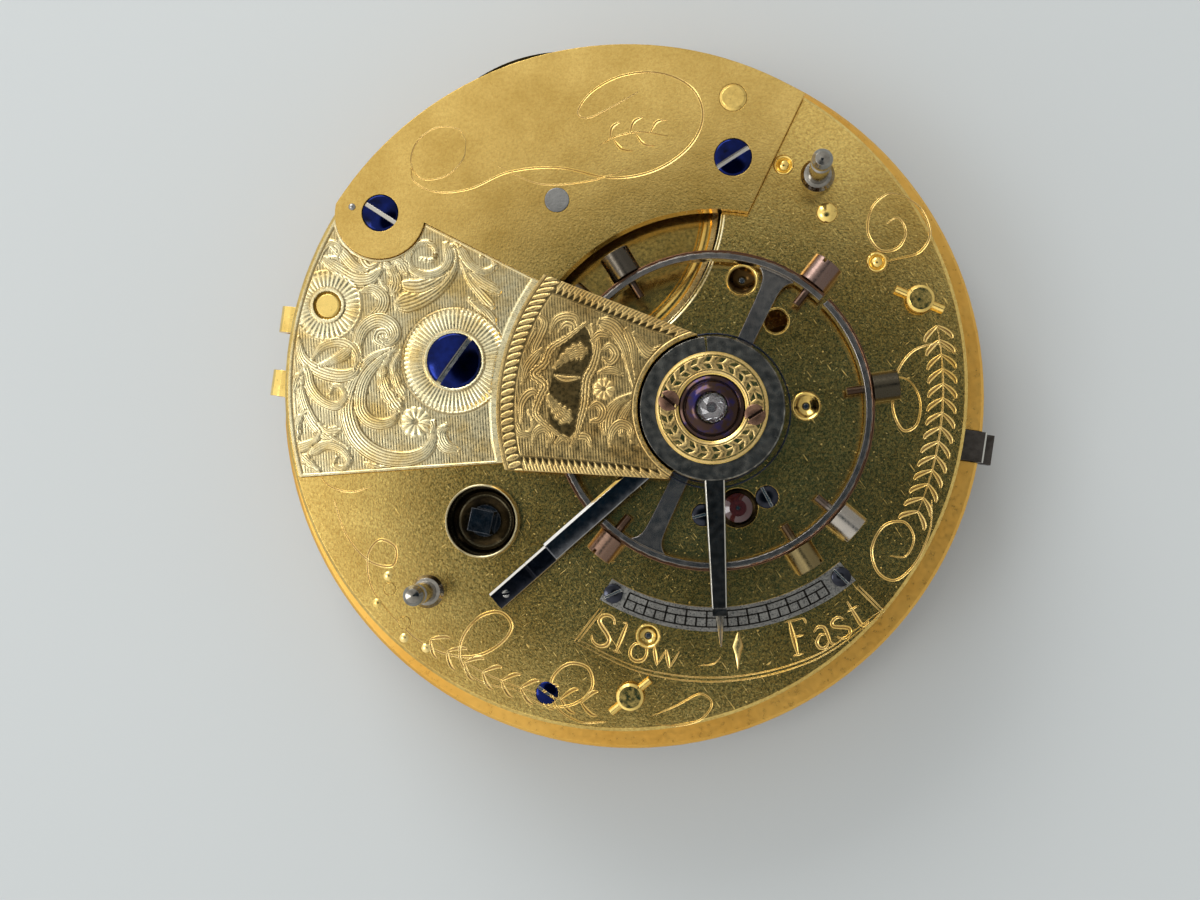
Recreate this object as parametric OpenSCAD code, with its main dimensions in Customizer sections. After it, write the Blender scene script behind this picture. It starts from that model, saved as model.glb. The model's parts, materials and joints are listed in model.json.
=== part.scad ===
// Pocket watch movement: full plate, key wound, fusee and chain, lever escapement
// Millimetres. +Z rises from the dial side to the top plate. The origin lies on the
// plate axis, in the lower plane of the brass edge. +X points to the bolt (six o'clock).

/* [Plates] */
// Diameter of the brass edge and the pillar plate
edge_d = 44.9; // [43.5:0.1:48]
// Height of the brass edge
edge_h = 2.6; // [2.4:0.1:3.2]
// Wall of the brass edge
edge_wall = 1.7; // [1.3:0.1:2.2]
// Height of the step that seats in the case
seat_h = 0.8; // [0.5:0.1:1.2]
// Radial depth of the step that seats in the case
seat_step = 0.55; // [0.3:0.05:0.8]
// Thickness of the pillar plate
pillar_plate_t = 1.4; // [1.3:0.05:1.8]
// Floor left under the recess for the centre wheel
recess_floor = 0.5; // [0.4:0.05:0.6]
// Distance between the plates
pillar_h = 5.8; // [5.6:0.1:6.6]
// Diameter of the top plate
top_d = 40.6; // [40:0.1:42]
// Thickness of the top plate
top_t = 1.2; // [1.1:0.05:1.6]
// Bevel on the plate edges
bevel = 0.2; // [0.1:0.05:0.3]
// Radius of the cut-out in the top plate above the barrel
barrel_cut_r = 9.75; // [9.6:0.05:9.9]

/* [Pillars] */
// Radius of the pillar foot and cap
pillar_r = 1.5; // [1.2:0.1:1.7]
// Radius of the pillar waist
pillar_waist_r = 0.85; // [0.8:0.05:1.1]
// Radius of the pillar end that passes through the top plate
pillar_end_r = 0.8; // [0.7:0.05:0.9]
// Inset of the pillar axes from the edge of the top plate
pillar_inset = 2.1; // [1.9:0.05:2.4]
// Radius of the taper pins
pin_r = 0.22; // [0.18:0.01:0.26]
// Length of the taper pins
pin_l = 3.0; // [2.4:0.1:3.6]

/* [Bridge and cock] */
// Depth that the bridge and the cock foot are let into the top plate
let_in = 0.4; // [0.3:0.05:0.5]
// Thickness of the barrel bridge
bridge_t = 1.2; // [1.1:0.05:1.4]
// Gap between the balance screws and the hollow side of the bridge
bridge_gap = 1.07; // [0.9:0.01:1.3]
// Radius of the bridge lobe round its left screw
lobe_r = 2.75; // [2.5:0.05:3]
// Thickness of the cock foot
foot_t = 0.95; // [0.9:0.05:1.2]
// Inset of the cock foot from the edge of the top plate
foot_inset = 0.4; // [0.2:0.05:0.6]
// Height of the cock table above the top plate
table_h = 3.5; // [3.4:0.05:4]
// Thickness of the cock table
table_t = 0.95; // [0.8:0.05:1]
// Gap between the balance screws and the cock neck
neck_gap = 0.45; // [0.35:0.05:0.6]
// Radial thickness of the cock neck
neck_t = 1.05; // [0.8:0.05:1.1]
// Radius of the cock nose under the regulator
nose_r = 4.0; // [3.9:0.02:4.08]
// Radius of the boss that the regulator turns on
boss_r = 2.85; // [2.7:0.05:3]
// Radius of the cock screw head
cock_screw_r = 1.65; // [1.4:0.05:1.8]
// Radius of the bridge screw heads
bridge_screw_r = 1.1; // [0.9:0.05:1.3]

/* [Balance] */
// Outer radius of the balance rim
rim_r = 9.3; // [9.1:0.05:9.4]
// Radial width of the balance rim
rim_w = 0.6; // [0.5:0.05:0.8]
// Height of the balance rim
rim_h = 1.1; // [0.9:0.05:1.2]
// Gap between the top plate and the balance rim
rim_lift = 0.65; // [0.55:0.05:0.75]
// Width of the balance arms at the rim
arm_w = 1.7; // [1.4:0.1:2]
// Radius of the largest balance screw heads
bal_screw_r = 0.78; // [0.6:0.02:0.8]
// Length of the largest balance screw heads
bal_screw_l = 1.5; // [1.2:0.05:1.55]
// Radius of the balance staff
staff_r = 0.45; // [0.35:0.05:0.55]
// Outer radius of the hairspring
hair_r = 4.5; // [4.4:0.02:4.6]
// Thickness of the hairspring strip
hair_t = 0.1; // [0.08:0.01:0.12]
// Height of the hairspring strip
hair_h = 0.3; // [0.2:0.02:0.32]
// Turns of the hairspring
hair_turns = 5.5; // [4:0.25:5.75]

/* [Regulator and index] */
// Outer radius of the regulator ring
reg_r = 4.13; // [4.1:0.01:4.2]
// Thickness of the regulator ring
reg_t = 0.34; // [0.28:0.01:0.36]
// Width of the regulator pointer
pointer_w = 1.1; // [0.9:0.05:1.3]
// Length of the regulator pointer from the balance axis
pointer_l = 13.3; // [12.9:0.1:13.5]
// Inner radius of the index scale about the balance axis
scale_r = 11.45; // [11.3:0.05:11.6]
// Radial width of the index scale
scale_w = 1.4; // [1.2:0.05:1.5]
// Thickness of the index scale
scale_t = 0.3; // [0.2:0.05:0.35]
// Width of the hairspring stud arm
stud_arm_w = 1.15; // [0.9:0.05:1.3]

/* [Barrel and fusee] */
// Radius of the barrel
barrel_r = 9.25; // [9.1:0.05:9.3]
// Wall of the barrel
barrel_wall = 0.4; // [0.3:0.05:0.5]
// Thickness of the barrel floor and cover
barrel_floor = 0.35; // [0.3:0.05:0.45]
// Radius of the barrel arbor core
core_r = 1.9; // [1.7:0.05:2.1]
// Radius of the fusee at its wide end
fusee_wide_r = 7.4; // [7.1:0.1:7.6]
// Radius of the fusee at its narrow end
fusee_narrow_r = 4.2; // [4:0.1:4.5]
// Height of the grooved fusee body
fusee_h = 3.2; // [3.1:0.05:3.4]
// Pitch of the chain on the fusee and the barrel
chain_pitch = 0.95; // [0.93:0.01:1]
// Height of the chain
chain_h = 0.5; // [0.4:0.02:0.52]
// Thickness of the chain
chain_t = 0.3; // [0.24:0.02:0.32]
// Width across the flats of the winding square
square_w = 1.35; // [1.2:0.05:1.5]
// Outer radius of the winding cup
cup_r = 2.2; // [2.1:0.05:2.4]
// Wall of the winding cup
cup_wall = 0.3; // [0.2:0.05:0.4]
// Height of the winding cup above the top plate
cup_h = 0.9; // [0.6:0.1:1.2]

/* [Train] */
// Teeth of the great wheel
great_n = 60; // [56:1:64]
// Leaves of the centre pinion
centre_pin_n = 12; // [11:1:13]
// Teeth of the centre wheel
centre_n = 64; // [60:1:68]
// Leaves of the third pinion
third_pin_n = 8; // [8:1:9]
// Teeth of the third wheel
third_n = 60; // [58:1:62]
// Leaves of the fourth pinion
fourth_pin_n = 8; // [8:1:9]
// Teeth of the fourth wheel
fourth_n = 56; // [54:1:58]
// Leaves of the escape pinion
escape_pin_n = 7; // [7:1:8]
// Thickness of the train wheels
wheel_t = 0.36; // [0.3:0.02:0.4]
// Thickness of the great wheel
great_t = 0.45; // [0.4:0.05:0.5]
// Tip radius of the escape wheel
escape_r = 3.9; // [3.7:0.05:3.95]
// Distance from the escape wheel to the pallet arbor
pallet_d = 4.5; // [4.45:0.05:4.6]
// Distance from the pallet arbor to the balance axis
lever_d = 4.6; // [4.5:0.05:4.7]
// Radius of the roller
roller_r = 1.5; // [1.4:0.05:1.6]

/* [Dial side] */
// Distance from the centre to the minute wheel stud
minute_d = 6.0; // [5.8:0.1:6.2]
// Length of the centre square below the dial seat
centre_drop = 2.7; // [2.4:0.1:3.2]
// Length of the hour pipe below the dial seat
hour_drop = 1.2; // [1:0.1:1.5]
// Radius of the set-up ratchet
setup_r = 2.6; // [2.4:0.1:2.9]
// Width of the bolt
bolt_w = 1.9; // [1.6:0.1:2.2]
// Reach of the bolt beyond the brass edge
bolt_reach = 1.0; // [0.8:0.1:1.2]
// Travel of the bolt
bolt_travel = 0.8; // [0.6:0.05:0.8]
// Radius of the case joint knuckles
knuckle_r = 0.8; // [0.7:0.05:0.85]
// Bore of the case joint knuckles
knuckle_bore_r = 0.35; // [0.3:0.05:0.4]
// Length of each case joint knuckle
knuckle_l = 1.7; // [1.5:0.1:1.9]
// Gap between the case joint knuckles
knuckle_gap = 2.5; // [2.2:0.1:2.8]

/* [Top side fittings] */
// Height of the dust cap studs above the top plate
stud_h = 4.8; // [4.5:0.1:5.2]
// Radius of the dust cap studs
stud_r = 0.6; // [0.5:0.05:0.7]
// Radius of the collar of the dust cap studs
stud_collar_r = 1.0; // [0.8:0.05:1.2]
// Radius of the escape jewel setting
setting_r = 1.15; // [1.1:0.05:1.25]
// Radius of the small plate screw heads
plate_screw_r = 0.66; // [0.6:0.02:0.7]

/* [Fits] */
// Running clearance of pivots and arbors
run = 0.03; // [0.02:0.005:0.05]
// Clearance of pieces that are set into one another
set = 0.02; // [0.015:0.005:0.03]

/* [Hidden] */
$fn = 64;
// Places of the arbors on the plate, read off the photograph
fusee_at = [-8.12, -7.94];
barrel_at = [-3.66, 11.03];
third_at = [7.23, 6.26];
fourth_at = [10.94, -1.20];
escape_at = [6.95, -7.17];
balance_at = [5.46, -1.52];
detent_at = [1.66, -14.68];
cock_screw_at = [-9.81, 1.57];
bridge_left_at = [-14.29, 10.44];
bridge_right_at = [6.72, 13.39];
stud_at = [[11.65, 12.30], [-11.39, -12.11]];
through_hole_at = [9.21, 3.82];
row_pins_at = [[9.70, 13.05], [12.22, 10.16], [15.10, 7.22]];
jewel_screw_at = [[4.90, -7.58], [8.64, -6.52]];
loose_screw_at = [-4.31, -18.08];
potence_at = [3.9, 2.3];
stop_at = [-13.3, -13.0];
arm_screw_at = [-6.64, -12.22];
// Directions of the pillars and of their pins
pillar_a = [68.3, 164.2, 15.8, -88];
pillar_pin_a = [-12, 74, -24, 40];
bolt_a = -8.7;
joint_a = 172.3;
minute_a = -70;
edge_screw_a = [38, 128, 258, 302];
edge_screw_in = 1.05;
centre_at = [0, 0];

// Reach of the balance screws from the balance axis, and what stands round them
sweep_r = rim_r + bal_screw_l;
neck_r = sweep_r + neck_gap + neck_t;
bridge_hollow_r = sweep_r + bridge_gap;
riser_r = sweep_r + 0.8;
riser_t = 1.1;
tip_in_r = sweep_r + 0.5;

// Levels, from the dial side up
edge_r = edge_d / 2;
top_r = top_d / 2;
z_pp0 = edge_h;
z_floor = z_pp0 + recess_floor;
z_pp1 = z_pp0 + pillar_plate_t;
z_tp0 = z_pp1 + pillar_h;
z_tp1 = z_tp0 + top_t;
z_seat = z_tp1 - let_in;
z_bridge = z_seat + bridge_t;
z_foot = z_seat + foot_t;
z_table1 = z_tp1 + table_h;
z_table0 = z_table1 - table_t;
z_nose = z_table1 - 0.4;
z_boss = z_nose + reg_t + 0.06;
z_rim0 = z_tp1 + rim_lift;
z_rim1 = z_rim0 + rim_h;
z_screws = (z_rim0 + z_rim1) / 2;
z_arm = max(z_rim1, z_screws + bal_screw_r) + 0.17;
arm_t = 0.3;
z_hair1 = z_arm - 0.05;
z_hair0 = z_hair1 - hair_h;
z_centre0 = z_floor + 0.2;
z_centre1 = z_centre0 + wheel_t;
z_third0 = z_pp1 + 0.1;
z_third1 = z_third0 + wheel_t;
z_great0 = z_third1 + 0.2;
z_great1 = z_great0 + great_t;
z_ratchet0 = z_great1 + set;
z_ratchet1 = z_ratchet0 + 0.25;
z_cone0 = z_ratchet1 + 0.05;
z_cone1 = z_cone0 + fusee_h;
z_stop0 = z_cone1 + 0.1;
z_stop1 = z_stop0 + 0.3;
z_barrel0 = z_third1 + 0.3;
z_barrel1 = z_tp0 - 0.5;
z_fourth0 = z_pp1 + 1.4;
z_fourth1 = z_fourth0 + wheel_t;
z_pot0 = z_tp0 - 3.6;
z_pot1 = z_pot0 + 0.6;
z_esc0 = z_pot1 + 0.25;
z_esc1 = z_esc0 + 0.33;
z_lever0 = z_esc1 + set;
z_lever1 = z_lever0 + 0.3;
z_imp = z_lever1 + 0.1;
z_roller0 = z_imp + 0.28;
z_roller1 = z_roller0 + 0.3;

function pol(r, a) = [r * cos(a), r * sin(a)];
function ang(p, q) = atan2(q[1] - p[1], q[0] - p[0]);
function dist(p, q) = norm(q - p);
// The point at distances a from p and b from q, to the right of the line from p to q
function meet(p, q, a, b) =
    let(d = dist(p, q), u = (q - p) / d, x = (a * a - b * b + d * d) / (2 * d), h = sqrt(a * a - x * x))
    p + x * u + h * [u[1], -u[0]];
// The turn of a wheel of n2 teeth that meshes with n1 teeth turned by t1, seen at direction a
function mesh(a, n1, t1, n2) = a + 180 - (360 / n2) * (0.5 - (a - t1) * n1 / 360);

pallet_at = meet(balance_at, escape_at, lever_d, pallet_d);
minute_at = pol(minute_d, minute_a);
m_great = 2 * dist(centre_at, fusee_at) / (great_n + centre_pin_n);
m_centre = 2 * dist(centre_at, third_at) / (centre_n + third_pin_n);
m_third = 2 * dist(third_at, fourth_at) / (third_n + fourth_pin_n);
m_fourth = 2 * dist(fourth_at, escape_at) / (fourth_n + escape_pin_n);
cannon_n = 12;
minute_n = 36;
minute_pin_n = 10;
hour_n = 40;
m_cannon = 2 * minute_d / (cannon_n + minute_n);
m_hour = 2 * minute_d / (minute_pin_n + hour_n);
recess_r = m_centre * (centre_n / 2 + 1) + 0.35;
third_pin_r = m_centre * (third_pin_n / 2 + 0.8);
pillars_at = [for (a = pillar_a) pol(top_r - pillar_inset, a)];
index_mid_a = -88;
index_a = [-121, -50];
scale_mid_r = scale_r + scale_w / 2;
scale_screws_at = [for (a = [index_a[0] + 2.4, index_a[1] - 2.4]) balance_at + pol(scale_mid_r, a)];
stop_rivets_at = [stop_at + [-0.45, 1.0], stop_at + [0.45, -1.0]];
cut_a = [44.5, 224.5];
arm_a = 64.5;
stud_arm_a = 221.2;
// Balance screws: direction, share of the largest head
bal_screws = [[7.8, 0.82], [51.6, 1], [121.8, 0.9], [140, 0.88],
              [187.8, 0.82], [231.6, 1], [301.8, 0.9], [320, 0.88]];

// Small helpers

module at(p, z = 0, a = 0) translate([p[0], p[1], z]) rotate([0, 0, a]) children();
module rod(p, z0, z1, r) at(p, z0) cylinder(r = r, h = z1 - z0);
module slab(z0, z1) translate([0, 0, z0]) linear_extrude(height = z1 - z0) children();
module turned(p) at(p) rotate_extrude() children();
// A straight bar with round ends, seen from above
module bar(p, q, w) {
    translate(p) circle(d = w);
    translate(q) circle(d = w);
    translate(p) rotate(ang(p, q)) translate([0, -w / 2]) square([dist(p, q), w]);
}
// A part of a flat ring between two directions less than half a turn apart
module sector(p, r0, r1, a0, a1) translate(p) intersection() {
    difference() {
        circle(r = r1);
        circle(r = r0);
    }
    polygon([[0, 0], pol(2 * r1, a0), pol(2.4 * r1, (a0 + a1) / 2), pol(2 * r1, a1)]);
}
// A toothed outline of module m: wheels have slim teeth, pinions radial leaves
module teeth(n, m, w, add, ded) {
    rp = m * n / 2;
    h = 90 * w / n * 2;
    polygon([for (i = [0:n - 1]) for (k = [[rp - ded * m, -h], [rp + 0.25 * m, -0.86 * h],
        [rp + add * m, -0.36 * h], [rp + add * m, 0.36 * h], [rp + 0.25 * m, 0.86 * h], [rp - ded * m, h]])
        pol(k[0], 360 * i / n + k[1])]);
}
module wheel_teeth(n, m) teeth(n, m, 0.4, 0.95, 1.25);
module pinion_leaves(n, m) teeth(n, m, 0.34, 0.6, 1.3);
// The openings between the arms of a wheel
module crossings(n, hub, rim, w, a = 0) difference() {
    circle(r = rim);
    circle(r = hub);
    for (i = [0:n - 1]) rotate(a + 360 * i / n) translate([0, -w / 2]) square([rim + 1, w]);
}
// A screw with its head down to z, head radius r and height h, shank s down to z0, slot direction a
module screw(p, z, r, h, s, z0, a, slot = 0.32) at(p) difference() {
    union() {
        translate([0, 0, z]) cylinder(r = r, h = h - 0.08);
        translate([0, 0, z + h - 0.08]) cylinder(r1 = r, r2 = r - 0.08, h = 0.08);
        translate([0, 0, z0]) cylinder(r = s, h = z - z0 + 0.01);
    }
    rotate([0, 0, a]) translate([-2 * r, -slot * r / 2, z + h * 0.5]) cube([4 * r, slot * r, h]);
}

// Dial side and pillar plate

module joint_block(c) {
    for (s = [-1, 1]) rotate([0, 0, joint_a])
        translate([edge_r - 1.1 - c, s * (knuckle_gap + knuckle_l) / 2 - knuckle_l / 2 - c, z_pp1 - 2 * knuckle_r - c])
        cube([1.7 + 2 * c, knuckle_l + 2 * c, 2 * knuckle_r + 2 * c]);
}
module bolt_way(c, g) rotate([0, 0, bolt_a]) {
    translate([edge_r - 6 - g, -bolt_w / 2 - c, z_pp0 - 0.9 - c]) cube([6 + g + 2, bolt_w + 2 * c, 0.9 + c + 0.01]);
}
module brass_edge() color("#c99a3e") difference() {
    union() {
        rotate_extrude() polygon([[edge_r - edge_wall, 0], [edge_r - seat_step, 0], [edge_r - seat_step, seat_h],
            [edge_r - bevel, seat_h], [edge_r, seat_h + bevel], [edge_r, edge_h], [edge_r - edge_wall, edge_h]]);
        for (a = edge_screw_a) intersection() {
            rod(pol(edge_r - edge_wall - edge_screw_in, a), edge_h - 1, edge_h, 1.6);
            translate([0, 0, edge_h - 1]) cylinder(r = edge_r - edge_wall + 0.2, h = 1);
        }
    }
    for (a = edge_screw_a) rod(pol(edge_r - edge_wall - edge_screw_in, a), 0, edge_h + 1, 0.5 + set);
    bolt_way(0.05, bolt_travel + 0.2);
    joint_block(set);
    rotate([0, 0, joint_a]) translate([edge_r + 0.15, -8, z_pp1 - knuckle_r]) rotate([-90, 0, 0])
        cylinder(r = knuckle_r + 0.1, h = 16);
}
module dial_side_screws() color("#8b8d92") {
    for (a = edge_screw_a) screw_up(pol(edge_r - edge_wall - edge_screw_in, a), edge_h - 1, 0.95, 0.5, z_pp1 - 0.4, a + 30);
    screw_up(pol(edge_r - 4.3, bolt_a), z_pp0 - 0.9 - 0.05, 0.75, 0.45, z_pp1 - 0.4, bolt_a + 60);
}
// A screw whose head hangs below z
module screw_up(p, z, r, h, z1, a) at(p) difference() {
    union() {
        translate([0, 0, z - h]) cylinder(r = r, h = h);
        translate([0, 0, z - 0.01]) cylinder(r = 0.5, h = z1 - z + 0.01);
    }
    rotate([0, 0, a]) translate([-2 * r, -0.15, z - h - 0.01]) cube([4 * r, 0.3, 0.26]);
}
module pillar_plate() color("#c8a04c") difference() {
    union() {
        rotate_extrude() polygon([[0, z_pp0], [edge_r, z_pp0], [edge_r, z_pp1 - bevel], [edge_r - bevel, z_pp1], [0, z_pp1]]);
        rod(minute_at, 0.55, z_pp0 + 0.1, 0.5);
    }
    translate([0, 0, z_floor]) cylinder(r = recess_r, h = 5);
    rod(third_at, z_floor, z_pp1 + 1, third_pin_r + 0.3);
    rod(centre_at, 0, z_pp1 + 1, 1.0 + run);
    rod(third_at, 0, z_pp1 + 1, 0.3 + run);
    rod(fourth_at, 0, z_pp1 + 1, 0.35 + run);
    rod(escape_at, 0, z_pp1 + 1, 0.28 + run);
    rod(detent_at, 0, z_pp1 + 1, 0.35 + run);
    rod(fusee_at, 0, z_pp1 + 1, 0.8 + run);
    rod(barrel_at, 0, z_pp1 + 1, 1.0 + set);
    for (p = pillars_at) rod(p, 0, z_pp1 + 1, pillar_waist_r - 0.1 + set);
    for (a = edge_screw_a) rod(pol(edge_r - edge_wall - edge_screw_in, a), 0, z_pp1 - 0.4, 0.5 + set);
    rod(pol(edge_r - 4.3, bolt_a), 0, z_pp1 - 0.4, 0.5 + set);
    at(click_at) rod([0, 0], 0, z_pp1 - 0.4, 0.45 + set);
    rotate([0, 0, bolt_a]) translate([edge_r - 1.25 - bolt_travel - 0.1, -bolt_w / 2 - 0.05, 0])
        cube([5, bolt_w + 0.1, 10]);
    joint_block(set);
    rotate([0, 0, joint_a]) translate([edge_r + 0.15, -8, z_pp1 - knuckle_r]) rotate([-90, 0, 0])
        cylinder(r = knuckle_r + 0.1, h = 16);
}
module case_joint() color("#d2a548") difference() {
    for (s = [-1, 1]) rotate([0, 0, joint_a]) translate([0, s * (knuckle_gap + knuckle_l) / 2 - knuckle_l / 2, 0]) {
        translate([edge_r - 1.1, 0, z_pp1 - 2 * knuckle_r]) cube([1.25, knuckle_l, 2 * knuckle_r]);
        translate([edge_r + 0.15, 0, z_pp1 - knuckle_r]) rotate([-90, 0, 0]) cylinder(r = knuckle_r, h = knuckle_l);
    }
    rotate([0, 0, joint_a]) translate([edge_r + 0.15, -8, z_pp1 - knuckle_r]) rotate([-90, 0, 0])
        cylinder(r = knuckle_bore_r, h = 16);
}
module bolt() color("#4c4a48") rotate([0, 0, bolt_a]) difference() {
    union() {
        translate([edge_r - 6, -bolt_w / 2, z_pp0 - 0.9]) cube([6 + bolt_reach, bolt_w, 0.85]);
        translate([edge_r - 1.25, -bolt_w / 2, z_pp0 - 0.5]) cube([1.15, bolt_w, pillar_plate_t + 0.75]);
    }
    translate([edge_r - 4.3 - 0.55, 0, 0]) cylinder(r = 0.55, h = 10);
    translate([edge_r - 4.3 + bolt_travel + 0.05, 0, 0]) cylinder(r = 0.55, h = 10);
    translate([edge_r - 4.3 - 0.55, -0.55, 0]) cube([bolt_travel + 0.6, 1.1, 10]);
}
module pillar_at(i, top, hole) at(pillars_at[i]) difference() {
    rotate_extrude() polygon([[0, z_pp0], [pillar_waist_r - 0.1, z_pp0], [pillar_waist_r - 0.1, z_pp1],
        [pillar_r, z_pp1], [pillar_r, z_pp1 + 0.45], [pillar_r - 0.35, z_pp1 + 0.75], [pillar_waist_r + 0.1, z_pp1 + 1],
        [pillar_waist_r, z_pp1 + pillar_h * 0.36], [pillar_waist_r + 0.3, z_pp1 + pillar_h * 0.44],
        [pillar_waist_r + 0.3, z_pp1 + pillar_h * 0.52], [pillar_waist_r, z_pp1 + pillar_h * 0.6],
        [pillar_waist_r + 0.1, z_tp0 - 0.9], [pillar_r - 0.2, z_tp0 - 0.4], [pillar_r - 0.2, z_tp0],
        [pillar_end_r, z_tp0], [pillar_end_r, top - 0.12], [pillar_end_r - 0.15, top], [0, top]]);
    translate([0, 0, hole]) rotate([0, 0, pillar_pin_a[i]]) rotate([0, 90, 0])
        cylinder(r = pin_r + set, h = 6, center = true);
}
module pillars() color("#cfa64f") {
    pillar_at(0, z_bridge + 0.12, z_seat + pin_r);
    pillar_at(1, z_foot + 0.1, z_seat + pin_r);
    pillar_at(2, z_tp1 + 0.75, z_tp1 + pin_r);
    pillar_at(3, z_tp1 + 0.75, z_tp1 + pin_r);
}
module pillar_pins() color("#d8b45e") for (i = [0:3])
    at(pillars_at[i], (i < 2 ? z_seat : z_tp1) + pin_r, pillar_pin_a[i]) rotate([0, 90, 0])
    cylinder(r = pin_r, h = pin_l, center = true);

// Top plate, barrel bridge and balance cock

// The side of the cock foot that runs beside the bridge
cock_side = [[-11.18, 9.59], [-5.24, 6.52]];
cock_side_a = ang(cock_side[0], cock_side[1]);
bridge_seam = [[10.81, 16.85], [7.58, 10.13]];
cock_low = [[-19.20, -5.33], [-7.30, -4.52]];
module bridge_outline(c) difference() {
    intersection() {
        circle(r = top_r - 0.05 + (c > 0 ? 2 : 0));
        union() {
            intersection() {
                translate(cock_side[0]) rotate(cock_side_a) translate([-40, set / 2 - c]) square([80, 60]);
                translate(bridge_seam[0]) rotate(ang(bridge_seam[0], bridge_seam[1]) + 180)
                    translate([-40, -c]) square([80, 60]);
            }
            translate(bridge_left_at) circle(r = lobe_r + c);
        }
    }
    translate(balance_at) circle(r = bridge_hollow_r - c);
}
module foot_outline(c) difference() {
    intersection() {
        circle(r = top_r - foot_inset + c);
        translate(cock_side[0]) rotate(cock_side_a) translate([-40, -60 - set / 2 + c]) square([80, 60]);
        translate(cock_low[0]) rotate(ang(cock_low[0], cock_low[1])) translate([-40, -c]) square([80, 60]);
    }
    translate(bridge_left_at) circle(r = lobe_r + set - c);
    translate(balance_at) circle(r = neck_r - neck_t - c);
    translate([10, -20]) square([40, 60]);
}
module pin_slot(i) at(pillars_at[i], z_seat - 0.01, pillar_pin_a[i])
    translate([-pin_l / 2 - 0.1, -pin_r - 0.06, 0]) cube([pin_l + 0.2, 2 * pin_r + 0.12, 2 * pin_r + 0.07]);
module top_plate() color("#d0a552") difference() {
    rotate_extrude() polygon([[0, z_tp0], [top_r, z_tp0], [top_r, z_tp1 - bevel], [top_r - bevel, z_tp1], [0, z_tp1]]);
    rod(barrel_at, z_tp0 - 1, z_tp1 + 1, barrel_cut_r);
    slab(z_seat, z_tp1 + 1) bridge_outline(set);
    slab(z_seat, z_tp1 + 1) foot_outline(set);
    for (p = pillars_at) rod(p, z_tp0 - 1, z_tp1 + 1, pillar_end_r + set);
    for (p = [bridge_left_at, bridge_right_at]) rod(p, z_tp0 - 1, z_tp1 + 1, 0.55 + set);
    rod(cock_screw_at, z_tp0 - 1, z_tp1 + 1, 0.8 + set);
    rod(centre_at, z_tp0 - 1, z_tp0 + 0.6, 0.4 + run);
    rod(third_at, z_tp0 - 1, z_tp1 + 1, 0.93 + set);
    rod(fourth_at, z_tp0 - 1, z_tp1 + 1, 0.82 + set);
    rod(detent_at, z_tp0 - 1, z_tp1 + 1, 0.7 + set);
    rod(through_hole_at, z_tp0 - 1, z_tp1 + 1, 0.7);
    rod(pallet_at, z_tp0 - 1, z_tp0 + 0.6, 0.2 + run);
    rod(balance_at, z_tp0 - 1, z_tp1 + 1, roller_r + 0.3);
    rod(fusee_at, z_tp0 - 1, z_tp1 + 1, cup_r - 0.25 + set);
    rod(escape_at, z_tp1 - 0.4, z_tp1 + 1, setting_r + set);
    rod(escape_at, z_tp0 - 1, z_tp1 + 1, setting_r - 0.3 + set);
    for (p = jewel_screw_at) {
        rod(p, z_tp0 - 1, z_tp1, 0.3 + set);
        rod(p, z_tp1 - 0.3, z_tp1 + 1, plate_screw_r + set);
    }
    rod(loose_screw_at, z_tp0 - 1, z_tp1, 0.3 + set);
    rod(loose_screw_at, z_tp1 - 0.3, z_tp1 + 1, plate_screw_r + set);
    rod(potence_at, z_tp0 - 1, z_tp1, 0.45 + set);
    rod(potence_at, z_tp1 - 0.5, z_tp1 + 1, 0.95 + set);
    rod(arm_screw_at, z_tp0 - 1, z_tp1, 0.3 + set);
    for (p = scale_screws_at) rod(p, z_tp0 - 1, z_tp1 + 1, 0.28 + set);
    for (p = stud_at) rod(p, z_tp0 - 1, z_tp1 + 1, stud_r + set);
    for (p = row_pins_at) rod(p, z_tp0 - 1, z_tp1 + 1, 0.58 + set);
    for (p = stop_rivets_at) rod(p, z_tp0 - 1, z_tp1 + 1, 0.36 + set);
}
module barrel_bridge() color("#d4aa55") difference() {
    slab(z_seat, z_bridge) bridge_outline(0);
    rod(pillars_at[0], z_seat - 1, z_bridge + 1, pillar_end_r + set);
    pin_slot(0);
    rod(barrel_at, z_seat - 1, z_bridge + 1, 0.72 + set);
    for (p = [bridge_left_at, bridge_right_at]) {
        rod(p, z_seat - 1, z_bridge + 1, 0.55 + set);
        rod(p, z_bridge - 0.5, z_bridge + 1, bridge_screw_r + set);
    }
}
module bridge_screws() color("#27356e") {
    screw(bridge_left_at, z_bridge - 0.5, bridge_screw_r, 0.56, 0.55, z_tp0 + 0.1, -30);
    screw(bridge_right_at, z_bridge - 0.5, bridge_screw_r, 0.56, 0.55, z_tp0 + 0.1, 35);
}
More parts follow.
